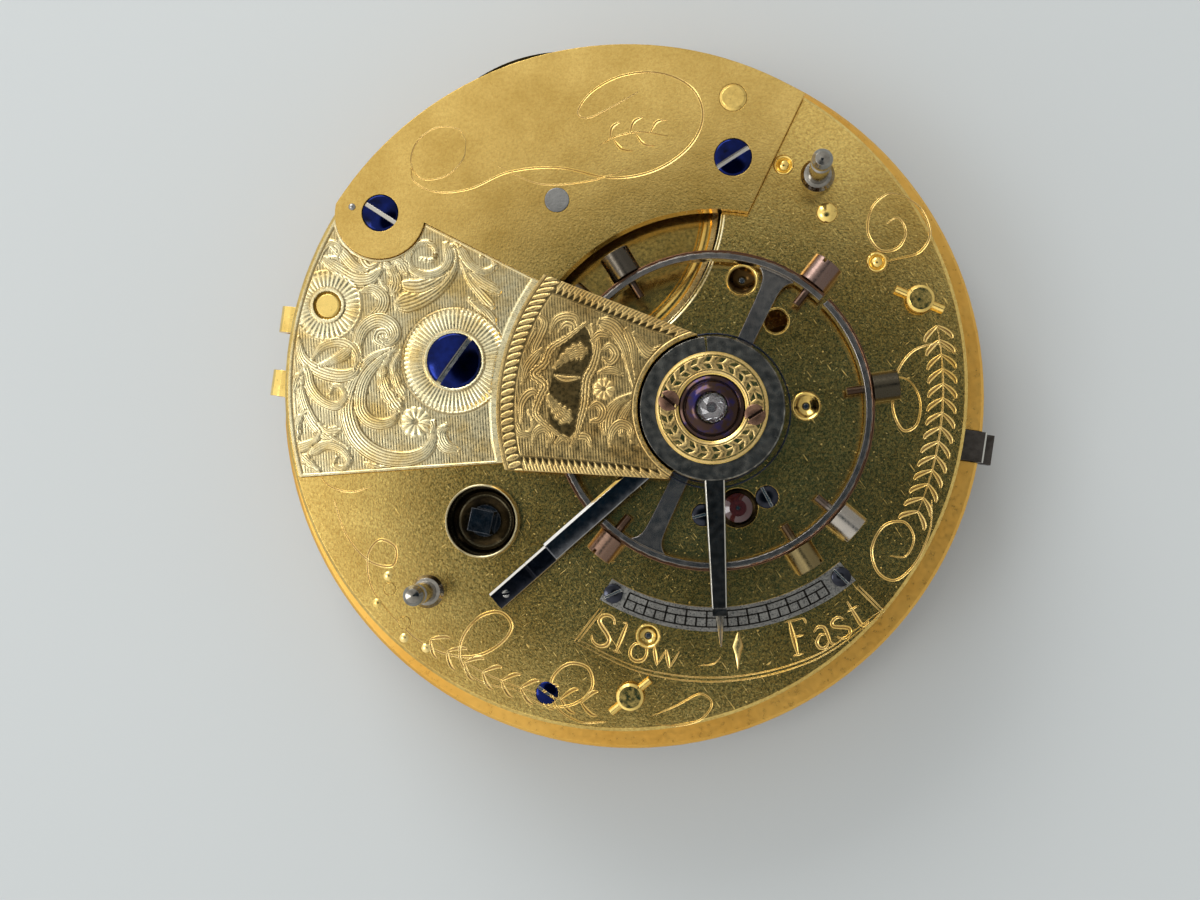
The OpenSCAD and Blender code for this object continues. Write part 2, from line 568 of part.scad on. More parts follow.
// The table of the cock: a wedge from the neck to the nose
table_l = [[-4.25, 6.26], [-6.82, -4.94]];
table_r = [[4.63, 2.68], [2.98, -5.52]];
module table_wedge() {
    a0 = ang(balance_at, table_l[0]);
    a1 = ang(balance_at, table_l[1]) + 360;
    polygon([balance_at + pol(neck_r * 1.3, a0), balance_at + pol(neck_r * 1.3, (a0 + a1) / 2),
        balance_at + pol(neck_r * 1.3, a1), table_l[1], table_r[1], balance_at, table_r[0], table_l[0]]);
}
module neck_outline() intersection() {
    table_wedge();
    difference() {
        translate(balance_at) circle(r = neck_r);
        translate(balance_at) circle(r = neck_r - neck_t);
    }
}
module balance_cock() color("#cda04a") difference() {
    union() {
        slab(z_seat, z_foot) foot_outline(0);
        slab(z_seat, z_table1) intersection() {
            neck_outline();
            foot_outline(0);
        }
        slab(z_bridge + 0.1, z_table1) neck_outline();
        slab(z_table0, z_table1) difference() {
            intersection() {
                table_wedge();
                translate(balance_at) circle(r = neck_r);
            }
            translate(balance_at) circle(r = reg_r + 0.1);
        }
        rod(balance_at, z_table0, z_nose, nose_r);
        slab(z_table0, z_nose) intersection() {
            table_wedge();
            translate(balance_at) circle(r = reg_r + 0.15);
        }
        rod(balance_at, z_nose - 0.01, z_boss, boss_r);
    }
    rod(cock_screw_at, z_seat - 1, z_foot + 1, 0.8 + set);
    rod(cock_screw_at, z_foot - 0.4, z_foot + 1, cock_screw_r + set);
    rod(pillars_at[1], z_seat - 1, z_foot + 1, pillar_end_r + set);
    pin_slot(1);
    rod(balance_at, z_table0 - 1, z_boss + 1, 0.7 + set);
    for (s = [170.5, -9.5]) rod(balance_at + pol(2.45, s), z_nose - 0.2, z_boss + 1, 0.2 + set);
}
module cock_screw() color("#5d5650")
    screw(cock_screw_at, z_foot - 0.4, cock_screw_r, 0.62, 0.8, z_tp0 + 0.05, 45, 0.24);
module cock_jewel_ring() color("#d9b05a") difference() {
    turned(balance_at) polygon([[1.88, z_boss], [3.18, z_boss], [3.18, z_boss + 0.28], [3.0, z_boss + 0.42],
        [2.05, z_boss + 0.42], [1.88, z_boss + 0.34]]);
    for (s = [170.5, -9.5]) rod(balance_at + pol(2.45, s), z_boss - 1, z_boss + 1, 0.2 + set);
    for (s = [170.5, -9.5]) rod(balance_at + pol(2.45, s), z_boss + 0.22, z_boss + 1, 0.42 + set);
}
module jewel_ring_screws() color("#6b4a34") for (s = [170.5, -9.5])
    screw(balance_at + pol(2.45, s), z_boss + 0.22, 0.42, 0.22, 0.2, z_nose - 0.15, s + 40);
module end_stone_setting() color("#2a3a70") turned(balance_at) polygon([[0.86, z_boss], [1.86, z_boss],
    [1.86, z_boss + 0.3], [1.6, z_boss + 0.52], [1.2, z_boss + 0.66], [0.86, z_boss + 0.7]]);
module end_stone() color("#e8eef2") turned(balance_at) polygon([[0, z_boss], [0.84, z_boss], [0.84, z_boss + 0.62],
    [0.52, z_boss + 0.82], [0, z_boss + 0.82]]);
module ruby_jewels() color("#c22f4c") {
    difference() {
        rod(balance_at, z_boss - 0.5, z_boss, 0.7);
        rod(balance_at, z_boss - 1, z_boss + 1, 0.12 + run);
    }
    difference() {
        rod(balance_at, z_pot0 + 0.2, z_pot1 - 0.05, 0.7);
        rod(balance_at, z_pot0 + 0.3, z_pot1 + 1, 0.12 + run);
    }
    difference() {
        turned(escape_at) polygon([[0, z_tp1 - 0.4], [0.85, z_tp1 - 0.4], [0.85, z_tp1 - 0.1], [0.5, z_tp1], [0, z_tp1]]);
        rod(escape_at, z_tp0 - 1, z_tp1 + 1, 0.12 + run);
    }
}
module index_scale() color("#9a9a98") difference() {
    slab(z_tp1, z_tp1 + scale_t) sector(balance_at, scale_r, scale_r + scale_w, index_a[0], index_a[1]);
    for (p = scale_screws_at) rod(p, z_tp1 - 1, z_tp1 + 1, 0.28 + set);
}
module scale_screws() color("#55565c") for (i = [0, 1])
    screw(scale_screws_at[i], z_tp1 + scale_t, 0.55, 0.26, 0.28, z_tp0 + 0.2, 25 - 70 * i);
arm_foot_r = dist(balance_at, arm_screw_at) + 0.25;
module stud_arm() color("#4f5056") difference() {
    union() {
        slab(z_arm, z_arm + arm_t)
            bar(balance_at + pol(hair_r + 0.1, stud_arm_a), balance_at + pol(riser_r + riser_t / 2, stud_arm_a), stud_arm_w);
        slab(z_tp1, z_arm + arm_t) intersection() {
            bar(balance_at + pol(sweep_r - 3, stud_arm_a), balance_at + pol(arm_foot_r, stud_arm_a), stud_arm_w);
            translate(balance_at) difference() {
                circle(r = riser_r + riser_t);
                circle(r = riser_r);
            }
        }
        slab(z_tp1, z_tp1 + 0.7)
            bar(balance_at + pol(riser_r + riser_t / 2, stud_arm_a), balance_at + pol(arm_foot_r, stud_arm_a), stud_arm_w);
        slab(z_hair0 - 0.1, z_arm + 0.01) translate(balance_at) rotate(stud_arm_a)
            translate([hair_r - 0.3, -0.35]) square([0.75, 0.34]);
    }
    rod(arm_screw_at, z_tp1 - 1, z_tp1 + 0.45, 0.3 + set);
    rod(arm_screw_at, z_tp1 + 0.45, z_tp1 + 1, 0.4 + set);
}

// A spiral strip: it starts at the outer end, keeps its radius for a part, then closes in
hair_hold = 0.3;
hair_in_r = 1.1;
function hair_rad(t) = t < hair_hold ? hair_r : hair_r - (hair_r - hair_in_r) * (t - hair_hold) / (hair_turns - hair_hold);
function hair_pt(t, d) = pol(hair_rad(t) + d, stud_arm_a + 2.5 + 360 * t);
hair_steps = round(24 * hair_turns);
hair_gap = (hair_r - hair_in_r) / (hair_turns - hair_hold) - hair_t;
echo(hairspring_least_gap_mm = hair_gap);
module hairspring() color("#3f4552") slab(z_hair0, z_hair1) translate(balance_at)
    polygon(concat([for (i = [0:hair_steps]) hair_pt(i * hair_turns / hair_steps, hair_t / 2)],
        [for (i = [0:hair_steps]) hair_pt((hair_steps - i) * hair_turns / hair_steps, -hair_t / 2)]));

module dust_cap_studs() color("#d8b058") for (p = stud_at) turned(p) polygon([[0, z_tp0 + 0.1],
    [stud_r, z_tp0 + 0.1], [stud_r, z_tp1], [stud_collar_r, z_tp1], [stud_collar_r, z_tp1 + 0.5],
    [stud_collar_r - 0.2, z_tp1 + 0.75], [stud_r, z_tp1 + 0.8], [stud_r, z_tp1 + stud_h - 1.3],
    [stud_r - 0.2, z_tp1 + stud_h - 1.1], [stud_r - 0.2, z_tp1 + stud_h - 0.9],
    [stud_r, z_tp1 + stud_h - 0.7], [stud_r, z_tp1 + stud_h - 0.35],
    [stud_r - 0.2, z_tp1 + stud_h - 0.08], [0, z_tp1 + stud_h]]);
module winding_cup() color("#d6ab52") turned(fusee_at) polygon([[0.95 + run, z_tp0], [cup_r - 0.25, z_tp0],
    [cup_r - 0.25, z_tp1], [cup_r, z_tp1], [cup_r, z_tp1 + cup_h - 0.1], [cup_r - 0.1, z_tp1 + cup_h],
    [cup_r - cup_wall, z_tp1 + cup_h], [cup_r - cup_wall - 0.15, z_tp0 + 0.6], [0.95 + run, z_tp0 + 0.6]]);
module escape_jewel_setting() color("#4a3a34") turned(escape_at) polygon([[0.87, z_tp1 - 0.4], [setting_r, z_tp1 - 0.4],
    [setting_r, z_tp1 - 0.05], [setting_r - 0.08, z_tp1 + 0.02], [1.0, z_tp1 + 0.02], [0.87, z_tp1 - 0.08]]);
module plate_screws() color("#2b3560") {
    screw(jewel_screw_at[0], z_tp1 - 0.3, plate_screw_r, 0.34, 0.3, z_tp0 + 0.1, 15);
    screw(jewel_screw_at[1], z_tp1 - 0.3, plate_screw_r, 0.34, 0.3, z_tp0 + 0.1, 60);
    screw(loose_screw_at, z_tp1 - 0.3, plate_screw_r, 0.36, 0.3, z_tp0 + 0.1, -35);
    screw(potence_at, z_tp1 - 0.5, 0.95, 0.48, 0.45, z_tp0 - 1.4, 20);
    screw(arm_screw_at, z_tp1 + 0.45, 0.4, 0.3, 0.3, z_tp0 + 0.1, 10);
}
module bush(p, r, bore, top = 0.04, sink = 0.3) turned(p) polygon([[bore + run, z_tp0], [r, z_tp0], [r, z_tp1 + top],
    [r - 0.12, z_tp1 + top], [bore + 0.1, z_tp1 - sink], [bore + run, z_tp1 - sink]]);
module plate_bushes() color("#e0b95f") {
    bush(third_at, 0.93, 0.16);
    bush(fourth_at, 0.82, 0.16);
    bush(detent_at, 0.7, 0.16);
    for (p = row_pins_at) turned(p) polygon([[0, z_tp0], [0.58, z_tp0], [0.58, z_tp1 + 0.06], [0.48, z_tp1 + 0.14], [0, z_tp1 + 0.14]]);
}
module potence() color("#c9a04e") difference() {
    union() {
        slab(z_pot0, z_pot1) {
            bar(potence_at, balance_at, 2.0);
            translate(balance_at) circle(r = 1.35);
            bar(balance_at, pallet_at, 1.5);
        }
        rod(potence_at, z_pot0, z_tp0, 1.25);
    }
    rod(balance_at, z_pot0 + 0.2, z_pot1 + 1, 0.7 + set);
    rod(pallet_at, z_pot0 - 1, z_pot1 + 1, 0.2 + run);
    rod(potence_at, z_tp0 - 1.5, z_tp0 + 1, 0.45 + set);
}
module stop_stud() color("#c8a150") {
    difference() {
        at(stop_at, 0, 135) translate([-1.5, -0.75, z_tp0 - 1.5]) cube([3.0, 1.5, 1.5]);
        at(stop_at, 0, 135) translate([-0.47, -1, z_tp0 - 2]) cube([0.94, 2, 1.75]);
        at(stop_at, z_tp0 - 0.8, 135) rotate([0, 90, 0]) cylinder(r = 0.25 + run, h = 6, center = true);
    }
    for (p = stop_rivets_at) rod(p, z_tp0 - 0.01, z_tp1 + 0.03, 0.36);
}
module stop_finger() color("#6a6c70") at(stop_at, 0, 45) {
    translate([-0.4, -0.42, z_stop0 - 0.45]) cube([2.7, 0.84, 0.35]);
    translate([-0.4, -0.42, z_stop0 - 0.45]) cube([0.8, 0.84, z_tp0 - 0.8 - z_stop0 + 0.45]);
    translate([0, 0, z_tp0 - 0.8]) rotate([90, 0, 0]) cylinder(r = 0.42, h = 0.84, center = true);
    translate([0, 0, z_tp0 - 0.8]) rotate([90, 0, 0]) cylinder(r = 0.25, h = 2.9, center = true);
}

// Barrel, mainspring, set-up work and chain

module barrel_arbor() color("#8f9298") difference() {
    union() {
        rod(barrel_at, z_pp0 - 1.1, z_pp1 + 0.1, 1.0);
        rod(barrel_at, z_pp1, z_barrel0 - 0.05, 1.5);
        rod(barrel_at, z_barrel0 - 0.06, z_barrel1 - 0.3, 0.95);
        rod(barrel_at, z_barrel0 + barrel_floor + 0.05, z_barrel1 - barrel_floor - 0.05, core_r);
        rod(barrel_at, z_barrel1 - 0.31, z_seat - 0.06, 0.95);
        rod(barrel_at, z_seat - 0.07, z_bridge + 0.05, 0.72);
    }
    for (i = [0:3]) at(barrel_at, 0, 45 + 90 * i) translate([0.72, -2, z_pp0 - 3]) cube([2, 4, 2.95]);
}
module ratchet_outline(r, n, d) polygon([for (i = [0:n - 1]) for (k = [[r - d, 0.02], [r, 0.06], [r - d, 0.98]])
    pol(k[0], 360 * (i + k[1]) / n)]);
click_at = barrel_at + pol(setup_r + 1.25, 60);
module setup_ratchet() color("#8a8c92") at(barrel_at) slab(z_pp0 - 0.8, z_pp0 - 0.06) difference() {
    ratchet_outline(setup_r, 18, 0.35);
    rotate(45) square(1.44 + 2 * set, center = true);
}
module setup_click() color("#8a8c92") {
    difference() {
        slab(z_pp0 - 0.8, z_pp0 - 0.06) difference() {
            union() {
                translate(click_at) circle(r = 0.95);
                bar(click_at, barrel_at + pol(setup_r + 0.55, 92), 0.8);
            }
            translate(barrel_at) circle(r = setup_r + 0.08);
        }
        rod(click_at, 0, z_pp0 + 1, 0.45 + set);
    }
    at(click_at) difference() {
        union() {
            translate([0, 0, z_pp0 - 1.15]) cylinder(r = 0.8, h = 0.33);
            translate([0, 0, z_pp0 - 0.83]) cylinder(r = 0.45, h = pillar_plate_t + 0.38);
        }
        rotate([0, 0, 25]) translate([-2, -0.14, z_pp0 - 1.2]) cube([4, 0.28, 0.22]);
    }
}
module barrel() color("#cfa24c") difference() {
    rod(barrel_at, z_barrel0, z_barrel1 - barrel_floor - set, barrel_r);
    rod(barrel_at, z_barrel0 + barrel_floor, z_barrel1 + 1, barrel_r - barrel_wall);
    rod(barrel_at, z_barrel0 - 1, z_barrel1 + 1, 0.95 + run);
}
module barrel_cover() color("#d6ad58") difference() {
    union() {
        turned(barrel_at) polygon([[0, z_barrel1 - barrel_floor], [barrel_r, z_barrel1 - barrel_floor],
            [barrel_r, z_barrel1 - 0.1], [barrel_r - 0.1, z_barrel1], [0, z_barrel1]]);
        rod(barrel_at, z_barrel1 - 0.01, z_barrel1 + 0.2, 2.2);
    }
    rod(barrel_at, z_barrel0 - 1, z_barrel1 + 1, 0.95 + run);
}
spring_turns = 8;
spring_t = 0.2;
spring_in_r = core_r + 0.35;
spring_out_r = barrel_r - barrel_wall - 0.2;
function spring_pt(t, d) = pol(spring_in_r + (spring_out_r - spring_in_r) * t / spring_turns + d, 360 * t);
echo(mainspring_least_gap_mm = (spring_out_r - spring_in_r) / spring_turns - spring_t);
module mainspring() color("#4d5a78") at(barrel_at) slab(z_barrel0 + barrel_floor + 0.1, z_barrel1 - barrel_floor - 0.1)
    polygon(concat([for (i = [0:24 * spring_turns]) spring_pt(i / 24, spring_t / 2)],
        [for (i = [0:24 * spring_turns]) spring_pt(spring_turns - i / 24, -spring_t / 2)]));

// Chain: up the fusee from its wide end, straight across, then up the barrel
fusee_wraps = 1.6;
barrel_wraps = 1.4;
chain_lay = chain_t / 2 + 0.06;
chord = 1 / cos(7.5);
function cone_r(z) = fusee_wide_r + (fusee_narrow_r - fusee_wide_r) * (z - z_cone0) / fusee_h;
z_chain0 = z_cone0 + chain_h / 2 + 0.12;
z_run = z_chain0 + fusee_wraps * chain_pitch;
run_r1 = (cone_r(z_run - chain_h / 2) + chain_lay) * chord;
run_r2 = (barrel_r + chain_lay) * chord;
run_a = ang(fusee_at, barrel_at) + acos((run_r1 - run_r2) / dist(fusee_at, barrel_at));
fusee_steps = round(24 * fusee_wraps);
barrel_steps = round(24 * barrel_wraps);
chain_path = concat(
    [for (i = [0:fusee_steps]) let(t = fusee_wraps * (1 - i / fusee_steps), z = z_run - t * chain_pitch,
        a = run_a + 360 * t, p = fusee_at + pol((cone_r(z - chain_h / 2) + chain_lay) * chord, a)) [p[0], p[1], z, a]],
    [for (i = [0:barrel_steps]) let(t = barrel_wraps * i / barrel_steps, z = z_run + t * chain_pitch,
        a = run_a - 360 * t, p = barrel_at + pol(run_r2, a)) [p[0], p[1], z, a]]);
echo(chain_least_gap_mm = chain_pitch - chain_h);
// A strip of rectangular section swept along a path of points with their outward directions
module strip(path, t, h) {
    n = len(path);
    polyhedron(points = [for (q = path) for (k = [[-1, -1], [1, -1], [1, 1], [-1, 1]])
            [q[0] + k[0] * t / 2 * cos(q[3]), q[1] + k[0] * t / 2 * sin(q[3]), q[2] + k[1] * h / 2]],
        faces = concat(
            [for (i = [0:n - 2]) for (k = [0:3]) [4 * i + k, 4 * i + (k + 1) % 4, 4 * i + 4 + (k + 1) % 4]],
            [for (i = [0:n - 2]) for (k = [0:3]) [4 * i + k, 4 * i + 4 + (k + 1) % 4, 4 * i + 4 + k]],
            [[0, 3, 2], [0, 2, 1], [4 * n - 4, 4 * n - 3, 4 * n - 2], [4 * n - 4, 4 * n - 2, 4 * n - 1]]));
}
module fusee_chain() color("#6d7076") strip(chain_path, chain_t, chain_h);

// Fusee and great wheel

beak_a = 320;
ratchet_r = m_great * great_n / 2 - 0.85;
module great_wheel() color("#cfa552") at(fusee_at) slab(z_great0, z_great1) difference() {
    wheel_teeth(great_n, m_great);
    circle(r = 0.95 + run);
}
module maintaining_ratchet() color("#85878c") at(fusee_at) slab(z_ratchet0, z_ratchet1) difference() {
    ratchet_outline(ratchet_r, 72, 0.25);
    circle(r = 0.95 + run);
}
module fusee_cone() color("#d2a851") difference() {
    turned(fusee_at) polygon(concat([[0, z_cone0], [fusee_wide_r + 0.25, z_cone0]],
        [[fusee_wide_r + 0.25, z_cone0 + 0.08]],
        [for (i = [0:6]) for (k = [[0, 0.1], [0.18, 0.22], [0.18, 0.36], [0, 0.45]])
            let(z = z_cone0 + (k[1] + 0.45 * i) * fusee_h / 3.2) [cone_r(z) - k[0], z]],
        [[fusee_narrow_r, z_cone1], [0, z_cone1]]));
    rod(fusee_at, z_cone0 - 1, z_cone1 + 1, 0.95 + set);
}
module fusee_arbor() color("#9a9ca2") {
    rod(fusee_at, z_pp0 + 0.1, z_pp1 + 0.05, 0.8);
    rod(fusee_at, z_pp1 + 0.04, z_great0 - 0.03, 1.3);
    rod(fusee_at, z_great0 - 0.04, z_tp0 + 0.65, 0.95);
    at(fusee_at) slab(z_stop0, z_stop1) difference() {
        union() {
            circle(r = 3.2);
            bar([0, 0], pol(5.2, beak_a), 0.8);
        }
        circle(r = 0.5);
    }
    at(fusee_at, 0, -12) translate([-square_w / 2, -square_w / 2, z_tp0 + 0.64])
        cube([square_w, square_w, z_tp1 + cup_h + 0.2 - z_tp0 - 0.64]);
}
module maintaining_detent() color("#7f8288") {
    rod(detent_at, z_pp0 + 0.3, z_pp1 + 0.3, 0.35);
    rod(detent_at, z_pp1 + 0.03, z_tp0 - 0.05, 0.5);
    rod(detent_at, z_tp0 - 0.06, z_tp1 - 0.2, 0.16);
    slab(z_ratchet0, z_ratchet1) difference() {
        union() {
            translate(detent_at) circle(r = 0.9);
            bar(detent_at, fusee_at + pol(ratchet_r + 0.4, ang(fusee_at, detent_at) - 14), 0.7);
        }
        translate(fusee_at) circle(r = ratchet_r + 0.1);
    }
}

// Train

a_c3 = ang(centre_at, third_at);
a_34 = ang(third_at, fourth_at);
a_4e = ang(fourth_at, escape_at);
module spoked(p, z0, n, m, arms, hub, bore, band) at(p, z0) linear_extrude(height = wheel_t) difference() {
    wheel_teeth(n, m);
    crossings(arms, hub, m * (n / 2 - 1.25) - band, 0.7);
    circle(r = bore + set);
}
module leaves(p, z0, z1, n, m, turn) at(p, z0, turn) linear_extrude(height = z1 - z0) pinion_leaves(n, m);
module centre_wheel() color("#d4ab58") spoked(centre_at, z_centre0, centre_n, m_centre, 4, 2.5, 1.0, 1.1);
module centre_arbor() color("#94969c") {
    rod(centre_at, -centre_drop + 0.4, z_floor - 0.1, 0.6);
    rod(centre_at, z_pp0 + 0.05, z_centre1 + 0.2, 1.0);
    rod(centre_at, z_centre1 + 0.05, z_great0, 1.3);
    leaves(centre_at, z_great0 - 0.05, z_great1 + 0.05, centre_pin_n, m_great, mesh(ang(fusee_at, centre_at), great_n, 0, centre_pin_n));
    rod(centre_at, z_great1, z_tp0 - 0.05, 0.8);
    rod(centre_at, z_tp0 - 0.06, z_tp0 + 0.5, 0.4);
}
module cannon_pinion() color("#8e9096") difference() {
    union() {
        rod(centre_at, -centre_drop + 1.0, z_pp0 - 0.05, 0.95);
        leaves(centre_at, 1.5 * edge_h / 2.6, z_pp0 - 0.2, cannon_n, m_cannon, 0);
        translate([-0.62, -0.62, -centre_drop]) cube([1.24, 1.24, 1.1]);
    }
    rod(centre_at, -centre_drop + 0.38, z_pp0 + 1, 0.6 + set);
}
module third_wheel() color("#d4ab58") spoked(third_at, z_third0, third_n, m_third, 4, 1.9, 0.55, 0.6);
module third_arbor() color("#94969c") {
    rod(third_at, z_pp0 + 0.05, z_floor + 0.1, 0.3);
    leaves(third_at, z_floor + 0.05, z_centre1 + 0.1, third_pin_n, m_centre, mesh(a_c3, centre_n, 0, third_pin_n));
    rod(third_at, z_centre1 + 0.05, z_tp0 - 0.05, 0.55);
    rod(third_at, z_tp0 - 0.06, z_tp1 - 0.2, 0.16);
}
module fourth_wheel() color("#d4ab58") spoked(fourth_at, z_fourth0, fourth_n, m_fourth, 4, 1.5, 0.5, 0.6);
module fourth_arbor() color("#94969c") {
    rod(fourth_at, -hour_drop, z_pp1 + 0.1, 0.35);
    leaves(fourth_at, z_pp1 + 0.04, z_third1 + 0.15, fourth_pin_n, m_third, mesh(a_34, third_n, 0, fourth_pin_n));
    rod(fourth_at, z_third1 + 0.1, z_tp0 - 0.05, 0.5);
    rod(fourth_at, z_tp0 - 0.06, z_tp1 - 0.2, 0.16);
}
module escape_wheel() color("#b9bcc2") at(escape_at, z_esc0) linear_extrude(height = 0.33) difference() {
    polygon([for (i = [0:14]) for (k = [[escape_r - 0.95, 0.1], [escape_r, 0.62], [escape_r, 0.7], [escape_r - 0.95, 0.6]])
        pol(k[0], 24 * (i + k[1]))]);
    crossings(4, 1.1, escape_r - 1.4, 0.55);
    circle(r = 0.42 + set);
}
module escape_arbor() color("#94969c") {
    rod(escape_at, z_pp0 + 0.3, z_pp1 + 0.1, 0.28);
    rod(escape_at, z_pp1 + 0.04, z_fourth0 - 0.15, 0.42);
    leaves(escape_at, z_fourth0 - 0.2, z_fourth1 + 0.2, escape_pin_n, m_fourth, mesh(a_4e, fourth_n, 0, escape_pin_n));
    rod(escape_at, z_fourth1 + 0.15, z_tp0 + 0.3, 0.42);
    rod(escape_at, z_tp0 + 0.29, z_tp1 - 0.15, 0.12);
}

// Lever, balance and regulator

lever_a = ang(pallet_at, balance_at);
lever_tip = lever_d - 0.85;
module lever() color("#a3a5aa") slab(z_lever0, z_lever1) difference() {
    union() {
        translate(pallet_at) circle(r = 0.8);
        bar(pallet_at, pallet_at + pol(lever_tip - 0.5, lever_a), 0.55);
        translate(pallet_at) rotate(lever_a) translate([lever_tip - 0.9, -0.55]) square([0.9, 1.1]);
        bar(pallet_at, pallet_at + pol(1.5, lever_a + 180), 0.45);
    }
    translate(pallet_at) circle(r = 0.35 + set);
    translate(pallet_at) rotate(lever_a) translate([lever_tip - 0.6, -0.2]) square([2, 0.4]);
}
pallet_reach = escape_r + 0.32;
pallet_a = ang(escape_at, pallet_at);
module pallets() color("#97999f") slab(z_esc0, z_esc1) difference() {
    union() {
        translate(pallet_at) circle(r = 0.75);
        for (s = [-29, 29]) bar(pallet_at, escape_at + pol(pallet_reach + 0.15, pallet_a + s), 0.75);
    }
    translate(pallet_at) circle(r = 0.35 + set);
    translate(escape_at) circle(r = pallet_reach);
}
module pallet_arbor() color("#94969c") {
    rod(pallet_at, z_pot0 + 0.1, z_pot1 + 0.05, 0.2);
    rod(pallet_at, z_pot1 + 0.04, z_tp0 - 0.05, 0.35);
    rod(pallet_at, z_tp0 - 0.06, z_tp0 + 0.5, 0.2);
}
module balance_wheel() color("#8a6f52") difference() {
    union() {
        difference() {
            rod(balance_at, z_rim0, z_rim1, rim_r);
            rod(balance_at, z_rim0 - 1, z_rim1 + 1, rim_r - rim_w);
            for (a = cut_a) at(balance_at, 0, a) translate([rim_r - 2, -0.17, z_rim0 - 1]) cube([4, 0.34, 5]);
        }
        slab(z_rim0 + 0.25, z_rim0 + 0.6) intersection() {
            translate(balance_at) circle(r = rim_r - 0.1);
            union() {
                translate(balance_at) circle(r = 1.5);
                translate(balance_at) rotate(arm_a) polygon([[rim_r, arm_w / 2], [0, arm_w * 0.4],
                    [-rim_r, arm_w / 2], [-rim_r, -arm_w / 2], [0, -arm_w * 0.4], [rim_r, -arm_w / 2]]);
            }
        }
    }
    rod(balance_at, z_rim0 - 1, z_rim1 + 1, staff_r + set);
    for (b = bal_screws) at(balance_at, z_screws, b[0]) rotate([0, 90, 0]) translate([0, 0, rim_r - rim_w - 1])
        cylinder(r = 0.25 + set, h = rim_w + 2);
}
module balance_screws() color("#6f5b48") for (b = bal_screws) at(balance_at, z_screws, b[0]) rotate([0, 90, 0]) difference() {
    union() {
        translate([0, 0, rim_r]) cylinder(r = bal_screw_r * b[1], h = bal_screw_l * b[1] - 0.1);
        translate([0, 0, rim_r + bal_screw_l * b[1] - 0.1])
            cylinder(r1 = bal_screw_r * b[1], r2 = bal_screw_r * b[1] - 0.1, h = 0.1);
        translate([0, 0, rim_r - rim_w - 0.9]) cylinder(r = 0.25, h = rim_w + 0.95);
    }
    translate([-2, -0.13, rim_r + bal_screw_l * b[1] - 0.35]) cube([4, 0.26, 1]);
}
module balance_staff() color("#a0a2a8") {
    rod(balance_at, z_pot0 + 0.32, z_pot1 + 0.05, 0.12);
    rod(balance_at, z_pot1 + 0.02, z_hair0 - 0.1, staff_r);
    difference() {
        rod(balance_at, z_rim0 + 0.62, z_hair1, 0.85);
        rod(balance_at, z_rim0, z_hair1 + 1, staff_r - 0.05);
    }
    rod(balance_at, z_hair0 - 0.15, z_table0 - 0.1, staff_r);
    rod(balance_at, z_table0 - 0.11, z_boss - 0.06, 0.12);
}
module roller() color("#9c9ea4") {
    difference() {
        rod(balance_at, z_roller0, z_roller1, roller_r);
        rod(balance_at, z_roller0 - 1, z_roller1 + 1, staff_r + set);
    }
    rod(balance_at + pol(roller_r - 0.4, lever_a + 180), z_imp, z_roller0 + 0.01, 0.17);
}
z_reg0 = z_nose + 0.02;
module regulator() color("#4a4b50") {
    difference() {
        union() {
            slab(z_reg0, z_reg0 + reg_t) difference() {
                translate(balance_at) circle(r = reg_r);
                translate(balance_at) circle(r = boss_r + run);
            }
            slab(z_reg0, z_reg0 + reg_t - 0.06) translate(balance_at) rotate(index_mid_a)
                polygon([[reg_r - 0.3, -pointer_w / 2], [tip_in_r, -pointer_w * 0.42], [tip_in_r, pointer_w * 0.42], [reg_r - 0.3, pointer_w / 2]]);
        }
        at(balance_at, z_reg0 - 1, 95) translate([0, -0.05, 0]) cube([reg_r + 0.1, 0.1, 3]);
    }
    slab(z_tp1 + scale_t + 0.12, z_reg0 + reg_t - 0.06) translate(balance_at) rotate(index_mid_a)
        translate([tip_in_r - 0.01, -pointer_w * 0.42]) square([0.42, pointer_w * 0.84]);
    slab(z_tp1 + scale_t + 0.12, z_tp1 + scale_t + 0.4) translate(balance_at) rotate(index_mid_a)
        polygon([[tip_in_r + 0.3, -0.28], [pointer_l, -0.07], [pointer_l, 0.07], [tip_in_r + 0.3, 0.28]]);
    for (s = [-1, 1]) rod(balance_at + pol(hair_r + s * 0.2, index_mid_a), z_hair0 + 0.02, z_reg0 + 0.05, 0.09);
}

// Motion work

module minute_wheel() color("#d0a856") difference() {
    union() {
        at(minute_at, 1.7 * edge_h / 2.6, mesh(minute_a, cannon_n, 0, minute_n)) linear_extrude(height = 0.5) difference() {
            wheel_teeth(minute_n, m_cannon);
            crossings(4, 1.7, m_cannon * (minute_n / 2 - 1.25) - 0.6, 0.7);
        }
        at(minute_at, 0.65 * edge_h / 2.6) linear_extrude(height = 1.06 * edge_h / 2.6) pinion_leaves(minute_pin_n, m_hour);
    }
    rod(minute_at, 0, 3, 0.5 + run);
}
module hour_wheel() color("#d0a856") difference() {
    union() {
        at(centre_at, 0.75 * edge_h / 2.6, mesh(minute_a + 180, minute_pin_n, 0, hour_n)) linear_extrude(height = 0.4) difference() {
            wheel_teeth(hour_n, m_hour);
            crossings(4, 1.9, m_hour * (hour_n / 2 - 1.25) - 0.6, 0.7);
        }
        rod(centre_at, -hour_drop, 0.75 * edge_h / 2.6 + 0.4, 1.4);
    }
    rod(centre_at, -3, 3, 0.95 + run);
}

